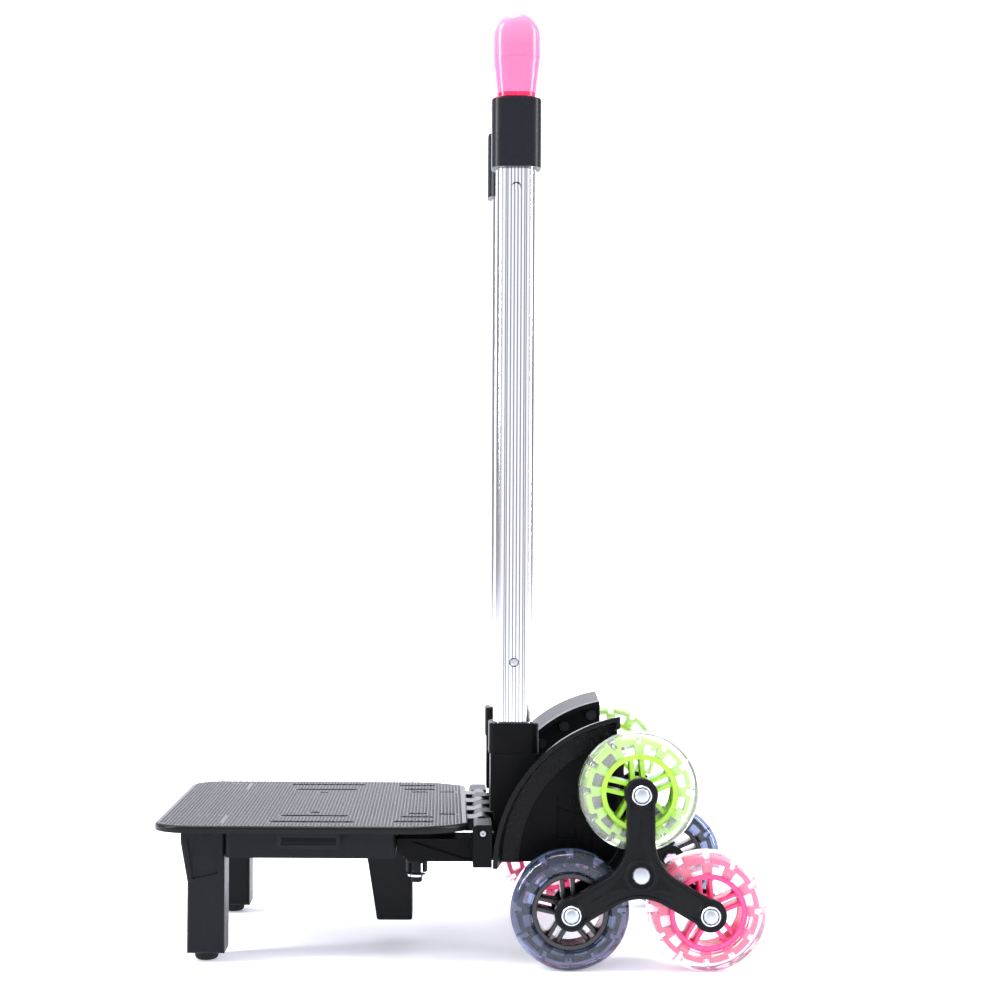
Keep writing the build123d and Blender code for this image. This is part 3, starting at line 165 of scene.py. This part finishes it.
# Painted shade: a darker grey in each flute and in a thin line along both edges of the fluted field.
painted_groove_shade = add(tree, "MapRange", {"Value": off_land.outputs["Value"], "From Min": 0.26, "From Max": 0.4})
from_middle = add(tree, "Math", {0: across}, operation="ABSOLUTE").outputs["Value"]
in_field = add(tree, "Math", {0: from_middle, 1: flute_field}, operation="LESS_THAN")
painted_edge_line = add(tree, "Math", {0: from_middle, 1: flute_field, 2: 0.00035}, operation="COMPARE")
painted_flute_shade = add(tree, "Math", {0: painted_groove_shade.outputs["Result"], 1: in_field.outputs["Value"]}, operation="MULTIPLY")
painted_flute_and_edge_shade = add(tree, "Math", {0: painted_flute_shade.outputs["Value"], 1: painted_edge_line.outputs["Value"]}, operation="MAXIMUM")
# 84868f is the painted shade colour for the flutes and the field's edges.
tint = add(tree, "Mix", {"Factor": painted_flute_and_edge_shade.outputs["Value"], 6: linear("fafafc"), 7: linear("84868f")},
           data_type="RGBA")
# Extrusion lines: 0.4 mm across and 200 mm long.
stretch = add(tree, "Mapping", {"Vector": place, "Scale": (2500, 2500, 5)})
lines = add(tree, "TexNoise", {"Vector": stretch.outputs["Vector"], "Scale": 1.0, "Detail": 3.0})
polish = add(tree, "MapRange", {"Value": lines.outputs["Fac"], "From Min": 0.3, "From Max": 0.7,
                                "To Min": 0.07, "To Max": 0.2})
relief = add(tree, "Bump", {"Height": lines.outputs["Fac"], "Distance": 0.00003, "Strength": 0.35})
tree.links.new(tint.outputs["Result"], shader.inputs["Base Color"])
tree.links.new(polish.outputs["Result"], shader.inputs["Roughness"])
tree.links.new(relief.outputs["Normal"], shader.inputs["Normal"])
for side in ("left", "right"):
    dress(f"{side}_outer_tube", bright_anodised)
    dress(f"{side}_inner_tube", bright_anodised)

# ------------------------------------------------------------------ collars, bushes and plugs
# Collars over the mouths of the outer tubes and the nylon bushes and sliders inside
# them. The collars are satin ABS; the nylon is duller and slightly waxy.
collar_abs = moulded_black("abs_satin", "0f1015", "16171d", 0.34, 0.8, 0.07, 0.2)
nylon = moulded_black("nylon_moulded", "1b1b1e", "232327", 0.5, 0.6, 0.03)
for side in ("left", "right"):
    dress(f"{side}_tube_collar", collar_abs)
for node in ("guide_bushes", "tube_plugs", "release_yoke"):
    dress(node, nylon)

# ------------------------------------------------------------------ load plate
# The deck that carries the load: a smooth edged ABS moulding, covered inside its rim
# with raised grains like grains of rice, laid aslant, so that boxes don't slide.
# The real grains are near 2 mm long, drawn at 2.8 mm so that there are fewer of them.
MM = 0.001
deck_abs = moulded_black("abs_deck", "08080a", "0d0e10", 0.34, 0.9, 0.05, 0.16)
# Painted highlight: the grains take a lighter black than the deck, a lit copy of the same plastic, for the
# sheen they catch.
grain_abs_painted_sheen = moulded_black("abs_deck_grains_painted_sheen", "17181e", "212229", 0.36, 0.9, 0.03, 0.45)
dress("load_plate", deck_abs)


def make_piece(bm, name, body, materials, stands_for=(), sharp=35):
    """Turns a mesh drawn in millimetres into a finished piece of the object."""
    bmesh.ops.scale(bm, vec=(MM, MM, MM), verts=bm.verts)
    mesh = bpy.data.meshes.new(name)
    bm.to_mesh(mesh)
    bm.free()
    mesh.shade_smooth()
    mesh.set_sharp_from_angle(angle=math.radians(sharp))
    for material in materials:
        mesh.materials.append(material)
    piece = bpy.data.objects.new(name, mesh)
    bpy.context.scene.collection.objects.link(piece)
    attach(piece, body)
    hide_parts(*stands_for)
    return piece


deck_slots = [(-122.4, -66.9, 89.0), (-117.4, -71.9, 63.0), (-42.9, -15.7, 86.0), (-38.8, -15.8, 66.0),
              (-99.1, -92.0, 48.0), (-33.4, -20.4, 52.0), (-13.2, -1.4, 53.0)]
slot_half_width, slot_margin = 3.7, 0.8
seam_from, seam_to, seam_inner, seam_outer = -175.0, -152.4, 63.0, 94.0
seam_half_width = 0.5
plain_front, plain_rear, plain_rim = 4.0, 3.0, 3.5
front_corner, rear_corner, rear_corner_x = 22.0, 51.9, -34.0
plate_low, plate_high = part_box("load_plate")


def on_deck(x, y):
    """Whether a grain fits here: inside the rim, off the slots and off the panel seams."""
    y = abs(y)
    front = plate_low.x / MM
    half_width = plate_high.y / MM
    if x < front + plain_front or x > plain_rear or y > half_width - plain_rim:
        return False
    for centre_x, corner in ((front + front_corner, front_corner), (rear_corner_x, rear_corner)):
        outside_x = centre_x - x if centre_x < -100 else x - centre_x
        outside_y = y - (half_width - corner)
        outside = outside_x > 0 and outside_y > 0
        if outside and math.hypot(outside_x, outside_y) > corner - plain_rim:
            return False
    for x_from, x_to, middle in deck_slots:
        if x_from - slot_margin < x < x_to + slot_margin and abs(y - middle) < slot_half_width:
            return False
    beyond = max(seam_from - x, x - seam_to, seam_inner - y, y - seam_outer)
    return abs(beyond) >= seam_half_width


bm = bmesh.new()
deck_top = 91.0
grain_rings = ((1.0, -0.15), (0.86, 0.2), (0.45, 0.38))
grain_half_length, grain_half_width, grain_sides = 1.4, 0.8, 6
first_row, row_pitch, rows = -194.0, 2.3, 88
first_grain, grain_pitch, grains_a_row = -107.0, 3.4, 64
slant = math.radians(28)
long_way = Vector((math.sin(slant), math.cos(slant), 0))
short_way = Vector((long_way.y, -long_way.x, 0))
for row in range(rows):
    for step in range(grains_a_row):
        x = first_row + row_pitch * row
        y = first_grain + grain_pitch * (step + 0.5 * (row % 2))
        if not on_deck(x, y):
            continue
        rings = []
        for share, height in grain_rings:
            ring = []
            for corner in range(grain_sides):
                turn = math.tau * corner / grain_sides
                spot = Vector((x, y, deck_top + height))
                along = grain_half_length * share * math.cos(turn)
                across = grain_half_width * share * math.sin(turn)
                spot += long_way * along + short_way * across
                ring.append(bm.verts.new(spot))
            rings.append(ring)
        for low, high in zip(rings, rings[1:]):
            for i in range(grain_sides):
                bm.faces.new((low[i - 1], high[i - 1], high[i], low[i]))
        bm.faces.new(rings[-1][::-1])
bmesh.ops.recalc_face_normals(bm, faces=bm.faces)
make_piece(bm, "deck_grains", "plate", [grain_abs_painted_sheen], sharp=60)

# ------------------------------------------------------------------ underframe, legs and latch
# Ribbed skirt, three legs and two strap loops screwed under the deck, and the latch
# guide on the left arm. The same coarsely grained ABS throughout.
for node in ("plate_underframe", "centre_leg", "left_front_leg", "right_front_leg",
             "left_strap_loop", "right_strap_loop", "latch_guide", "latch_plunger"):
    dress(node, grained_abs)

# ------------------------------------------------------------------ rubber feet
# Domed feet of solid black rubber, pushed into the legs by their stems. Matt, with a
# faint grey bloom.
foot_rubber = moulded_black("rubber_moulded", "101011", "1a1a1b", 0.72, 0.8, 0.08)
for side in ("left", "right"):
    dress(f"{side}_rubber_foot", foot_rubber)

# ------------------------------------------------------------------ spiders
# Three-armed plates that carry three wheels each, one inside and one outside the
# wheels. Glass-filled nylon, moulded with a raised rim, round bosses and a low ridge
# down each arm; satin, with a very fine grain.
hub = ((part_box("main_axle")[0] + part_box("main_axle")[1]) / 2) / MM
wheel_reach = 50.5
arm_angles = (90, 210, 330)
outer_face = 122.0
outer_thickness = 7.0


def star_outline(half_width, boss, blend, reach):
    """Points round three arms with round ends, in X and Z about the hub."""
    centre = (half_width + blend) / math.sin(math.radians(60))
    foot = math.degrees(math.asin(half_width / boss))
    points = []
    for arm in arm_angles:
        tip = Vector((reach * math.cos(math.radians(arm)), 0, reach * math.sin(math.radians(arm))))
        for i in range(25):
            turn = math.radians(arm - 180 + foot + i * (360 - 2 * foot) / 24)
            points.append(tip + boss * Vector((math.cos(turn), 0, math.sin(turn))))
        middle = math.radians(arm + 60)
        pivot = centre * Vector((math.cos(middle), 0, math.sin(middle)))
        for i in range(17):
            turn = math.radians(arm + 270 - 60 * i / 16)
            points.append(pivot + blend * Vector((math.cos(turn), 0, math.sin(turn))))
    return points


def slab(bm, points, y_from, y_to, edge=0.0, steps=2):
    """An outline in X and Z made solid between two Y values, with its far edge rounded."""
    face = bm.faces.new([bm.verts.new((p.x, y_from, p.z)) for p in points])
    pushed = bmesh.ops.extrude_face_region(bm, geom=[face])["geom"]
    cap = [f for f in pushed if isinstance(f, bmesh.types.BMFace)]
    verts = [v for v in pushed if isinstance(v, bmesh.types.BMVert)]
    bmesh.ops.translate(bm, verts=verts, vec=(0, y_to - y_from, 0))
    if edge:
        rim = list(cap[0].edges)
        bmesh.ops.bevel(bm, geom=rim, offset=edge, offset_type="OFFSET", affect="EDGES", segments=steps,
                        profile=0.5, material=-1)
        cap = [f for f in bm.faces if len(f.verts) > 20 and abs(f.calc_center_median().y - y_to) < 0.001]
    return cap[0]


def turned(bm, profile, centre, steps=48, index=0):
    """A round shape: a profile of (radius, y) points spun about an axis along Y."""
    before = set(bm.faces)
    verts = [bm.verts.new((r, y, 0)) for r, y in profile]
    edges = [bm.edges.new(pair) for pair in zip(verts, verts[1:])]
    bmesh.ops.spin(bm, geom=verts + edges, cent=(0, 0, 0), axis=(0, 1, 0), dvec=(0, 0, 0),
                   angle=math.tau, steps=steps, use_merge=True)
    made = [f for f in bm.faces if f not in before]
    ring = list({v for f in made for v in f.verts})
    bmesh.ops.remove_doubles(bm, verts=ring, dist=0.0001)
    made = [f for f in bm.faces if f not in before]
    bmesh.ops.recalc_face_normals(bm, faces=made)
    bmesh.ops.translate(bm, verts=list({v for f in made for v in f.verts}), vec=centre)
    for face in made:
        face.material_index = index
    return made


def at_hub(bm, side):
    """Moves a shape drawn about the hub to the left or the right spider."""
    if side == "right":
        bmesh.ops.scale(bm, vec=(1, -1, 1), verts=bm.verts)
        bmesh.ops.reverse_faces(bm, faces=bm.faces)
    bmesh.ops.translate(bm, verts=bm.verts, vec=(hub.x, 0, hub.z))


def outer_arm(side):
    bm = bmesh.new()
    rim = 2.2
    sunk = 0.9
    top = slab(bm, star_outline(8.9, 10.5, 30.0, wheel_reach), -outer_face + outer_thickness,
               -outer_face, 1.0, 3)
    bmesh.ops.inset_region(bm, faces=[top], thickness=rim - 1.0, use_even_offset=True)
    bmesh.ops.inset_region(bm, faces=[top], thickness=0.5, depth=-sunk, use_even_offset=True)
    floor = -outer_face + sunk
    slab(bm, star_outline(1.2, 1.25, 54.0, 34.0), floor + 0.3, floor - 0.5, 0.35)
    bmesh.ops.recalc_face_normals(bm, faces=bm.faces)
    for arm in arm_angles:
        x, z = (wheel_reach * f(math.radians(arm)) for f in (math.cos, math.sin))
        boss = [(0, floor + 0.4), (8.1, floor + 0.4), (8.1, floor - 0.6), (7.8, floor - 0.9),
                (0, floor - 0.9)]
        turned(bm, boss, (x, 0, z))
    # Boss round the hub bolt's well
    deep = -outer_face + 2.6
    turned(bm, [(8.0, deep), (8.0, -outer_face + 0.3), (8.3, -outer_face), (10.0, -outer_face),
                (10.4, -outer_face + 0.4), (10.4, deep), (8.0, deep)], (0, 0, 0), 64)
    return bm


spider_nylon = moulded_black("nylon_glass_filled", "07080a", "0c0d10", 0.34, 0.8, 0.07, 0.12)
for side in ("left", "right"):
    bm = outer_arm(side)
    at_hub(bm, side)
    make_piece(bm, f"{side}_spider_outer_plate", f"{side}_spider", [spider_nylon],
               [f"{side}_spider_outer_arm"])
    dress(f"{side}_spider_inner_arm", spider_nylon)

# ------------------------------------------------------------------ wheel and axle bolts
# Flanged bolts through the wheels and into the axle's ends. Zinc plated steel: the pressed flange is bright
# and the cold-forged dome inside it is rough and greyer. The hub bolt's washer is drawn in black oxide steel
# as painted shade for the dark well round the bolt.
forged = plated("steel_cold_forged", "a8adb3", 0.42, 1.0)


def bolt_head(bm, x, z, flange, dome, base):
    """A dome inside a raised flange ring, standing outwards from a base at y."""
    ring = [(dome, base), (dome, base - 1.4), (dome + 0.3, base - 1.9), (flange - 0.4, base - 1.9),
            (flange, base - 1.4), (flange, base), (dome, base)]
    turned(bm, ring, (x, 0, z), 48, 0)
    cap = [(dome - 0.1, base), (dome - 0.2, base - 2.0), (dome - 0.7, base - 2.7), (dome - 1.8, base - 3.2),
           (0, base - 3.4)]
    turned(bm, cap, (x, 0, z), 9, 1)


for side in ("left", "right"):
    bm = bmesh.new()
    for arm in arm_angles:
        x, z = (wheel_reach * f(math.radians(arm)) for f in (math.cos, math.sin))
        bolt_head(bm, x, z, 6.3, 5.1, -outer_face)
        shank = [(0, -79.5), (2.6, -79.5), (3.0, -80.0), (3.0, -outer_face), (0, -outer_face)]
        turned(bm, shank, (x, 0, z), 24, 0)
    at_hub(bm, side)
    make_piece(bm, f"{side}_flanged_bolts", f"{side}_spider", [zinc, forged],
               [f"{side}_wheel_bolts"])

bm = bmesh.new()
for side in (-1, 1):
    seat = -119.8
    # Painted shade: the washer takes black oxide steel to stand for the dark well round the bolt.
    washer = [(0, seat), (6.1, seat), (6.1, seat - 0.9), (5.8, seat - 1.2), (0, seat - 1.2)]
    made = turned(bm, washer, (0, 0, 0), 48, 2)
    head = [(5.6, seat - 1.2), (5.6, seat - 2.9), (5.0, seat - 3.8), (3.6, seat - 4.3), (0, seat - 4.4)]
    made += turned(bm, head, (0, 0, 0), 11, 1)
    made += turned(bm, [(0, -107.0), (2.9, -107.0), (2.9, seat)], (0, 0, 0), 24, 0)
    if side > 0:
        bmesh.ops.scale(bm, vec=(1, -1, 1), verts=list({v for f in made for v in f.verts}))
        bmesh.ops.reverse_faces(bm, faces=made)
bmesh.ops.translate(bm, verts=bm.verts, vec=(hub.x, 0, hub.z))
make_piece(bm, "hub_bolts", "frame", [zinc, forged, black_oxide_and_well_shade], ["axle_bolts"])

# ------------------------------------------------------------------ wheel cores
# Each core is one polypropylene moulding: a hub, five pairs of spokes, a deep ring
# and a thin windowed flange that locks into the tyre. Glossy, and a little
# translucent in the bright colours, which gives their shadows a deeper glow.


def core_colour(name, colour, glow):
    """Glossy moulded polypropylene with a faint cloudiness and flow marks."""
    tree, shader, material = start_material(
        name, Roughness=0.28, Subsurface_Weight=glow, Subsurface_Scale=0.004,
        Subsurface_Radius=(1.0, 1.0, 1.0))
    place = add(tree, "TexCoord", {}).outputs["Object"]
    flow = add(tree, "TexNoise", {"Vector": place, "Scale": 1000 / 14, "Detail": 3.0})
    low = [c * 0.86 for c in linear(colour)[:3]] + [1]
    tint = add(tree, "Mix", {"Factor": flow.outputs["Fac"], 6: low, 7: linear(colour)}, data_type="RGBA")
    polish = add(tree, "MapRange", {"Value": flow.outputs["Fac"], "To Min": 0.2, "To Max": 0.36})
    grain = add(tree, "TexNoise", {"Vector": place, "Scale": 1000 / 1.2, "Detail": 1.0})
    relief = add(tree, "Bump", {"Height": grain.outputs["Fac"], "Distance": 0.00003, "Strength": 0.4})
    tree.links.new(tint.outputs["Result"], shader.inputs["Base Color"])
    tree.links.new(polish.outputs["Result"], shader.inputs["Roughness"])
    tree.links.new(relief.outputs["Normal"], shader.inputs["Normal"])
    return material


core_colours = {"green": core_colour("polypropylene_lime", "a8da3c", 0.15),
                "black": core_colour("polypropylene_black", "0e0e11", 0.0),
                "pink": core_colour("polypropylene_pink", "ff4488", 0.15)}
wheel_colours = {"left": {"top": "green", "front": "black", "rear": "pink"},
                 "right": {"top": "green", "front": "pink", "rear": "black"}}
ring_outside = 24.5


def flange(bm):
    """Thin disc round the ring, with twelve windows and twelve notches between them."""
    before = set(bm.faces)
    half = 4.0
    verts = [bm.verts.new((r, -half, 0)) for r in (ring_outside - 0.4, 30.3, 33.0)]
    edges = [bm.edges.new(pair) for pair in zip(verts, verts[1:])]
    bmesh.ops.spin(bm, geom=verts + edges, cent=(0, 0, 0), axis=(0, 1, 0), dvec=(0, 0, 0),
                   angle=math.tau, steps=360, use_merge=True)
    disc = [f for f in bm.faces if f not in before]
    holes = []
    for face in disc:
        middle = face.calc_center_median()
        turn = math.degrees(math.atan2(middle.z, middle.x)) % 30
        inside = math.hypot(middle.x, middle.z) < 30.3
        if inside and abs(turn - 15) < 8.5 or not inside and min(turn, 30 - turn) < 3.5:
            holes.append(face)
    bmesh.ops.delete(bm, geom=holes, context="FACES")
    disc = [f for f in bm.faces if f not in before]
    pushed = bmesh.ops.extrude_face_region(bm, geom=disc)["geom"]
    far_side = [v for v in pushed if isinstance(v, bmesh.types.BMVert)]
    bmesh.ops.translate(bm, verts=far_side, vec=(0, 2 * half, 0))
    made = [f for f in bm.faces if f not in before]
    bmesh.ops.recalc_face_normals(bm, faces=made)
    posts = [e for e in {e for f in made for e in f.edges}
             if abs(e.verts[0].co.y - e.verts[1].co.y) > 1 and e.calc_face_angle(0) > 0.8]
    bmesh.ops.bevel(bm, geom=posts, offset=0.9, offset_type="OFFSET", affect="EDGES", segments=3,
                    profile=0.5, material=-1)
    sharp = [e for e in bm.edges if e.calc_face_angle(0) > 0.9]
    bmesh.ops.bevel(bm, geom=sharp, offset=0.3, offset_type="OFFSET", affect="EDGES", segments=2,
                    profile=0.5, material=-1)


def wheel_core():
    """The whole core about the origin, its axis along Y."""
    bm = bmesh.new()
    flange(bm)
    inner = 21.2
    ring = [(inner, -9.6), (inner + 0.4, -10.0), (ring_outside - 0.4, -10.0), (ring_outside, -9.6),
            (ring_outside, 9.6), (ring_outside - 0.4, 10.0), (inner + 0.4, 10.0), (inner, 9.6), (inner, -9.6)]
    turned(bm, ring, (0, 0, 0), 96)
    barrel = [(5.06, -13.5), (7.4, -13.7), (8.0, -13.1), (8.0, 13.1), (7.4, 13.7), (5.06, 13.5),
              (5.06, -13.5)]
    turned(bm, barrel, (0, 0, 0), 48)
    for pair in range(5):
        for offset in (-3.35, 3.35):
            bar = bmesh.ops.create_cube(bm, size=1)["verts"]
            bmesh.ops.scale(bm, vec=(14.6, 14.0, 2.9), verts=bar)
            bmesh.ops.translate(bm, vec=(14.3, 0, offset), verts=bar)
            long_edges = [e for e in {e for v in bar for e in v.link_edges}
                          if abs(e.verts[0].co.x - e.verts[1].co.x) > 5]
            made = bmesh.ops.bevel(bm, geom=long_edges, offset=0.7, offset_type="OFFSET", affect="EDGES",
                                   segments=3, profile=0.5, material=-1)["verts"]
            spoke = list({v for f in made[0].link_faces for v in f.verts} | set(made))
            spoke = list({v for m in spoke for f in m.link_faces for v in f.verts})
            turn = Matrix.Rotation(-math.radians(95 + 72 * pair), 3, "Y")
            bmesh.ops.rotate(bm, cent=(0, 0, 0), matrix=turn, verts=spoke)
    return bm


core_shape = wheel_core()
for side, places in wheel_colours.items():
    for spot, colour in places.items():
        low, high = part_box(f"{side}_{spot}_wheel_tyre")
        bm = core_shape.copy()
        bmesh.ops.translate(bm, verts=bm.verts, vec=(low + high) / 2 / MM)
        make_piece(bm, f"{side}_{spot}_core", f"{side}_{spot}_wheel",
                   [core_colours[colour]], [f"{side}_{spot}_wheel_core"])

# ------------------------------------------------------------------ tyres
# Clear polyurethane cast round each core's flange. It is glossy, softly tinted and a little milky, so the
# flange shows paler through it.


def clear_polyurethane(name, colour, milk):
    """Cast polyurethane: mostly clear, with a milky share."""
    tree, shader, material = start_material(
        name, Base_Color=linear(colour), Transmission_Weight=1.0 - milk, IOR=1.2, Coat_Weight=0.6,
        Coat_Roughness=0.05)
    place = add(tree, "TexCoord", {}).outputs["Object"]
    swirl = add(tree, "TexNoise", {"Vector": place, "Scale": 1000 / 9, "Detail": 3.0})
    polish = add(tree, "MapRange", {"Value": swirl.outputs["Fac"], "From Min": 0.3, "From Max": 0.7,
                                    "To Min": 0.02, "To Max": 0.09})
    relief = add(tree, "Bump", {"Height": swirl.outputs["Fac"], "Distance": 0.0002, "Strength": 0.2})
    tree.links.new(polish.outputs["Result"], shader.inputs["Roughness"])
    tree.links.new(relief.outputs["Normal"], shader.inputs["Normal"])
    return material


tyre_colours = {"green": ("green_clear_tyre", clear_polyurethane("polyurethane_clear_green", "f4faf0", 0.14)),
                "black": ("smoky_clear_tyre", clear_polyurethane("polyurethane_clear_smoky", "66728f", 0.1)),
                "pink": ("pink_clear_tyre", clear_polyurethane("polyurethane_clear_pink", "ffd2df", 0.16))}


def tyre():
    """Tyre about the origin, its axis along Y, with the gate marks on both shoulders."""
    bm = bmesh.new()
    shoulder = 6.5
    half = 12.0
    outer = 38.0
    profile = [(24.7, -half + 1.6), (26.2, -half)]
    for i in range(8):
        turn = math.radians(-90 + 90 * i / 7)
        profile.append((outer - shoulder + shoulder * math.cos(turn),
                        -half + shoulder + shoulder * math.sin(turn)))
    profile += [(r, -y) for r, y in reversed(profile)]
    profile.append(profile[0])
    turned(bm, profile, (0, 0, 0), 96)
    for i in range(12):
        for face in (-1, 1):
            gate = bmesh.ops.create_icosphere(bm, subdivisions=2, radius=1.0)["verts"]
            bmesh.ops.scale(bm, vec=(1.4, 0.5, 0.9), verts=gate)
            bmesh.ops.translate(bm, vec=(33.9, face * 10.9, 0), verts=gate)
            turn = Matrix.Rotation(math.radians(30 * i), 3, "Y")
            bmesh.ops.rotate(bm, cent=(0, 0, 0), matrix=turn, verts=gate)
    return bm


tyre_shape = tyre()
for side, places in wheel_colours.items():
    for spot, colour in places.items():
        low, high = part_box(f"{side}_{spot}_wheel_tyre")
        slot, material = tyre_colours[colour]
        bm = tyre_shape.copy()
        bmesh.ops.translate(bm, verts=bm.verts, vec=(low + high) / 2 / MM)
        make_piece(bm, f"{side}_{spot}_tyre", f"{side}_{spot}_wheel", [material],
                   [f"{side}_{spot}_wheel_tyre"])

# ------------------------------------------------------------------ grip
# Two glossy shells and a button of pink polypropylene, a little translucent. The round top is painted a
# lighter pink as a painted highlight and the foot a deeper pink as painted shade.
tree, shader, pink_grip = start_material(
    "polypropylene_pink_grip", Roughness=0.24, Subsurface_Weight=0.35, Subsurface_Scale=0.006,
    Subsurface_Radius=(1.0, 0.7, 0.7))
place = add(tree, "TexCoord", {}).outputs["Object"]
height = add(tree, "SeparateXYZ", {"Vector": place}).outputs["Z"]
# Painted shade: a deeper pink below the height of the grip's foot.
foot_shade_rise = add(tree, "MapRange", {"Value": height, "From Min": 0.5645, "From Max": 0.5665})
body_tint_with_foot_shade = add(tree, "Mix", {"Factor": foot_shade_rise.outputs["Result"], 6: linear("f0144c"), 7: linear("ff6690")},
                data_type="RGBA")
# Painted highlight: a lighter pink mixed in towards the round top.
painted_crown_highlight = add(tree, "MapRange", {"Value": height, "From Min": 0.6, "From Max": 0.626, "To Max": 0.45})
tint = add(tree, "Mix", {"Factor": painted_crown_highlight.outputs["Result"], 6: body_tint_with_foot_shade.outputs["Result"],
                         7: linear("ffa0bc")}, data_type="RGBA")
flow = add(tree, "TexNoise", {"Vector": place, "Scale": 1000 / 18, "Detail": 3.0})
polish = add(tree, "MapRange", {"Value": flow.outputs["Fac"], "To Min": 0.16, "To Max": 0.32})
edge = add(tree, "Bevel", {"Radius": 0.0008}, samples=6)
relief = add(tree, "Bump", {"Height": flow.outputs["Fac"], "Distance": 0.0001, "Strength": 0.3,
                            "Normal": edge.outputs["Normal"]})
tree.links.new(tint.outputs["Result"], shader.inputs["Base Color"])
tree.links.new(polish.outputs["Result"], shader.inputs["Roughness"])
tree.links.new(relief.outputs["Normal"], shader.inputs["Normal"])
for node in ("grip_body", "grip_cap", "release_button"):
    dress(node, pink_grip)

# ------------------------------------------------------------------ grip skirts
# Thin lips of the same pink polypropylene under both stems of the grip, which almost touch the collars. They
# are coloured a deeper red pink than the grip as painted shade.
# Painted shade: a shaded copy of the grip's pink for the skirts.
shaded_skirt_pink = core_colour("polypropylene_pink_painted_shade", "f2164e", 0.1)
skirt_height = 2.6
skirt_half_width, skirt_half_depth, skirt_corner = 12.6, 10.8, 7.8
bm = bmesh.new()
grip_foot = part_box("grip_body")[0].z / MM
stem_offset = 54.0
for side_y in (-stem_offset, stem_offset):
    outline = []
    for across, along, start in ((1, 1, 0), (-1, 1, 90), (-1, -1, 180), (1, -1, 270)):
        for i in range(9):
            turn = math.radians(start + 90 * i / 8)
            outline.append(Vector((
                tube_middle / MM + across * (skirt_half_width - skirt_corner) + skirt_corner * math.cos(turn),
                side_y + along * (skirt_half_depth - skirt_corner) + skirt_corner * math.sin(turn),
                grip_foot - skirt_height)))
    face = bm.faces.new([bm.verts.new(p) for p in outline])
    pushed = bmesh.ops.extrude_face_region(bm, geom=[face])["geom"]
    lifted = [v for v in pushed if isinstance(v, bmesh.types.BMVert)]
    bmesh.ops.translate(bm, verts=lifted, vec=(0, 0, skirt_height + 0.2))
bmesh.ops.recalc_face_normals(bm, faces=bm.faces)
make_piece(bm, "grip_skirts", "handle", [shaded_skirt_pink])

# ------------------------------------------------------------------ floor, lights and camera
# A plain pale floor that sweeps up into the background, with large soft lights.
floor_material = start_material("floor_paper", Base_Color=linear("f4f5fb"), Roughness=0.6,
                                Emission_Color=linear("f2f3ff"), Emission_Strength=0.32)[2]
sweep = bmesh.new()
profile = [(-4.0, 0.0), (2.2, 0.0)]
bend = 1.2
for i in range(1, 17):
    turn = math.radians(90 * i / 16)
    profile.append((2.2 + bend * math.sin(turn), bend * (1 - math.cos(turn))))
profile.append((2.2 + bend, 6.0))
verts = [sweep.verts.new((-6.0, y, z)) for y, z in profile]
edges = [sweep.edges.new(pair) for pair in zip(verts, verts[1:])]
pulled = bmesh.ops.extrude_edge_only(sweep, edges=edges)["geom"]
bmesh.ops.translate(sweep, verts=[v for v in pulled if isinstance(v, bmesh.types.BMVert)], vec=(12, 0, 0))
mesh = bpy.data.meshes.new("floor_sweep")
sweep.to_mesh(mesh)
sweep.free()
mesh.shade_smooth()
mesh.materials.append(floor_material)
floor = bpy.data.objects.new("floor_sweep", mesh)
bpy.context.scene.collection.objects.link(floor)


def softbox(name, place, aim, size, power):
    """A square area light turned towards its aim."""
    lamp = bpy.data.lights.new(name, "AREA")
    lamp.shape = "RECTANGLE"
    lamp.size, lamp.size_y = size
    lamp.energy = power
    box = bpy.data.objects.new(name, lamp)
    box.location = place
    box.rotation_euler = (Vector(aim) - Vector(place)).to_track_quat("-Z", "Y").to_euler()
    bpy.context.scene.collection.objects.link(box)


centre = (0, 0, 0.3)
softbox("left_strip", (-1.5, -0.5, 1.2), centre, (0.25, 1.6), 50)
softbox("right_strip", (1.6, -0.5, 0.9), centre, (0.25, 1.6), 36)
softbox("top_softbox", (-0.2, 0.2, 2.3), centre, (1.0, 1.0), 40)
softbox("back_softbox", (0, 2.4, 2.2), (0, 3.2, 0.8), (3.5, 1.5), 60)
# The room is pale in front, behind and above, and darker at both sides.
world = bpy.data.worlds.new("studio")
world.use_nodes = True
tree = world.node_tree
way = add(tree, "TexCoord", {}).outputs["Generated"]
sideways = add(tree, "SeparateXYZ", {"Vector": way}).outputs["X"]
reach = add(tree, "Math", {0: sideways}, operation="ABSOLUTE")
shade = add(tree, "MapRange", {"Value": reach.outputs["Value"], "From Min": 0.6, "From Max": 0.92,
                               "To Min": 1.1, "To Max": 0.25})
tree.nodes["Background"].inputs["Color"].default_value = (0.93, 0.94, 1.0, 1)
tree.links.new(shade.outputs["Result"], tree.nodes["Background"].inputs["Strength"])
bpy.context.scene.world = world
bpy.context.scene.view_settings.view_transform = "Standard"

lens = bpy.data.cameras.new("camera")
lens.lens = 66.4
lens.sensor_width = 36
lens.shift_x = 0.056
lens.shift_y = 0.036
camera = bpy.data.objects.new("camera", lens)
camera.location = (-0.0104, -1.28, 0.276)
camera.rotation_euler = (math.radians(90), math.radians(-0.3), 0)
bpy.context.scene.collection.objects.link(camera)
bpy.context.scene.camera = camera
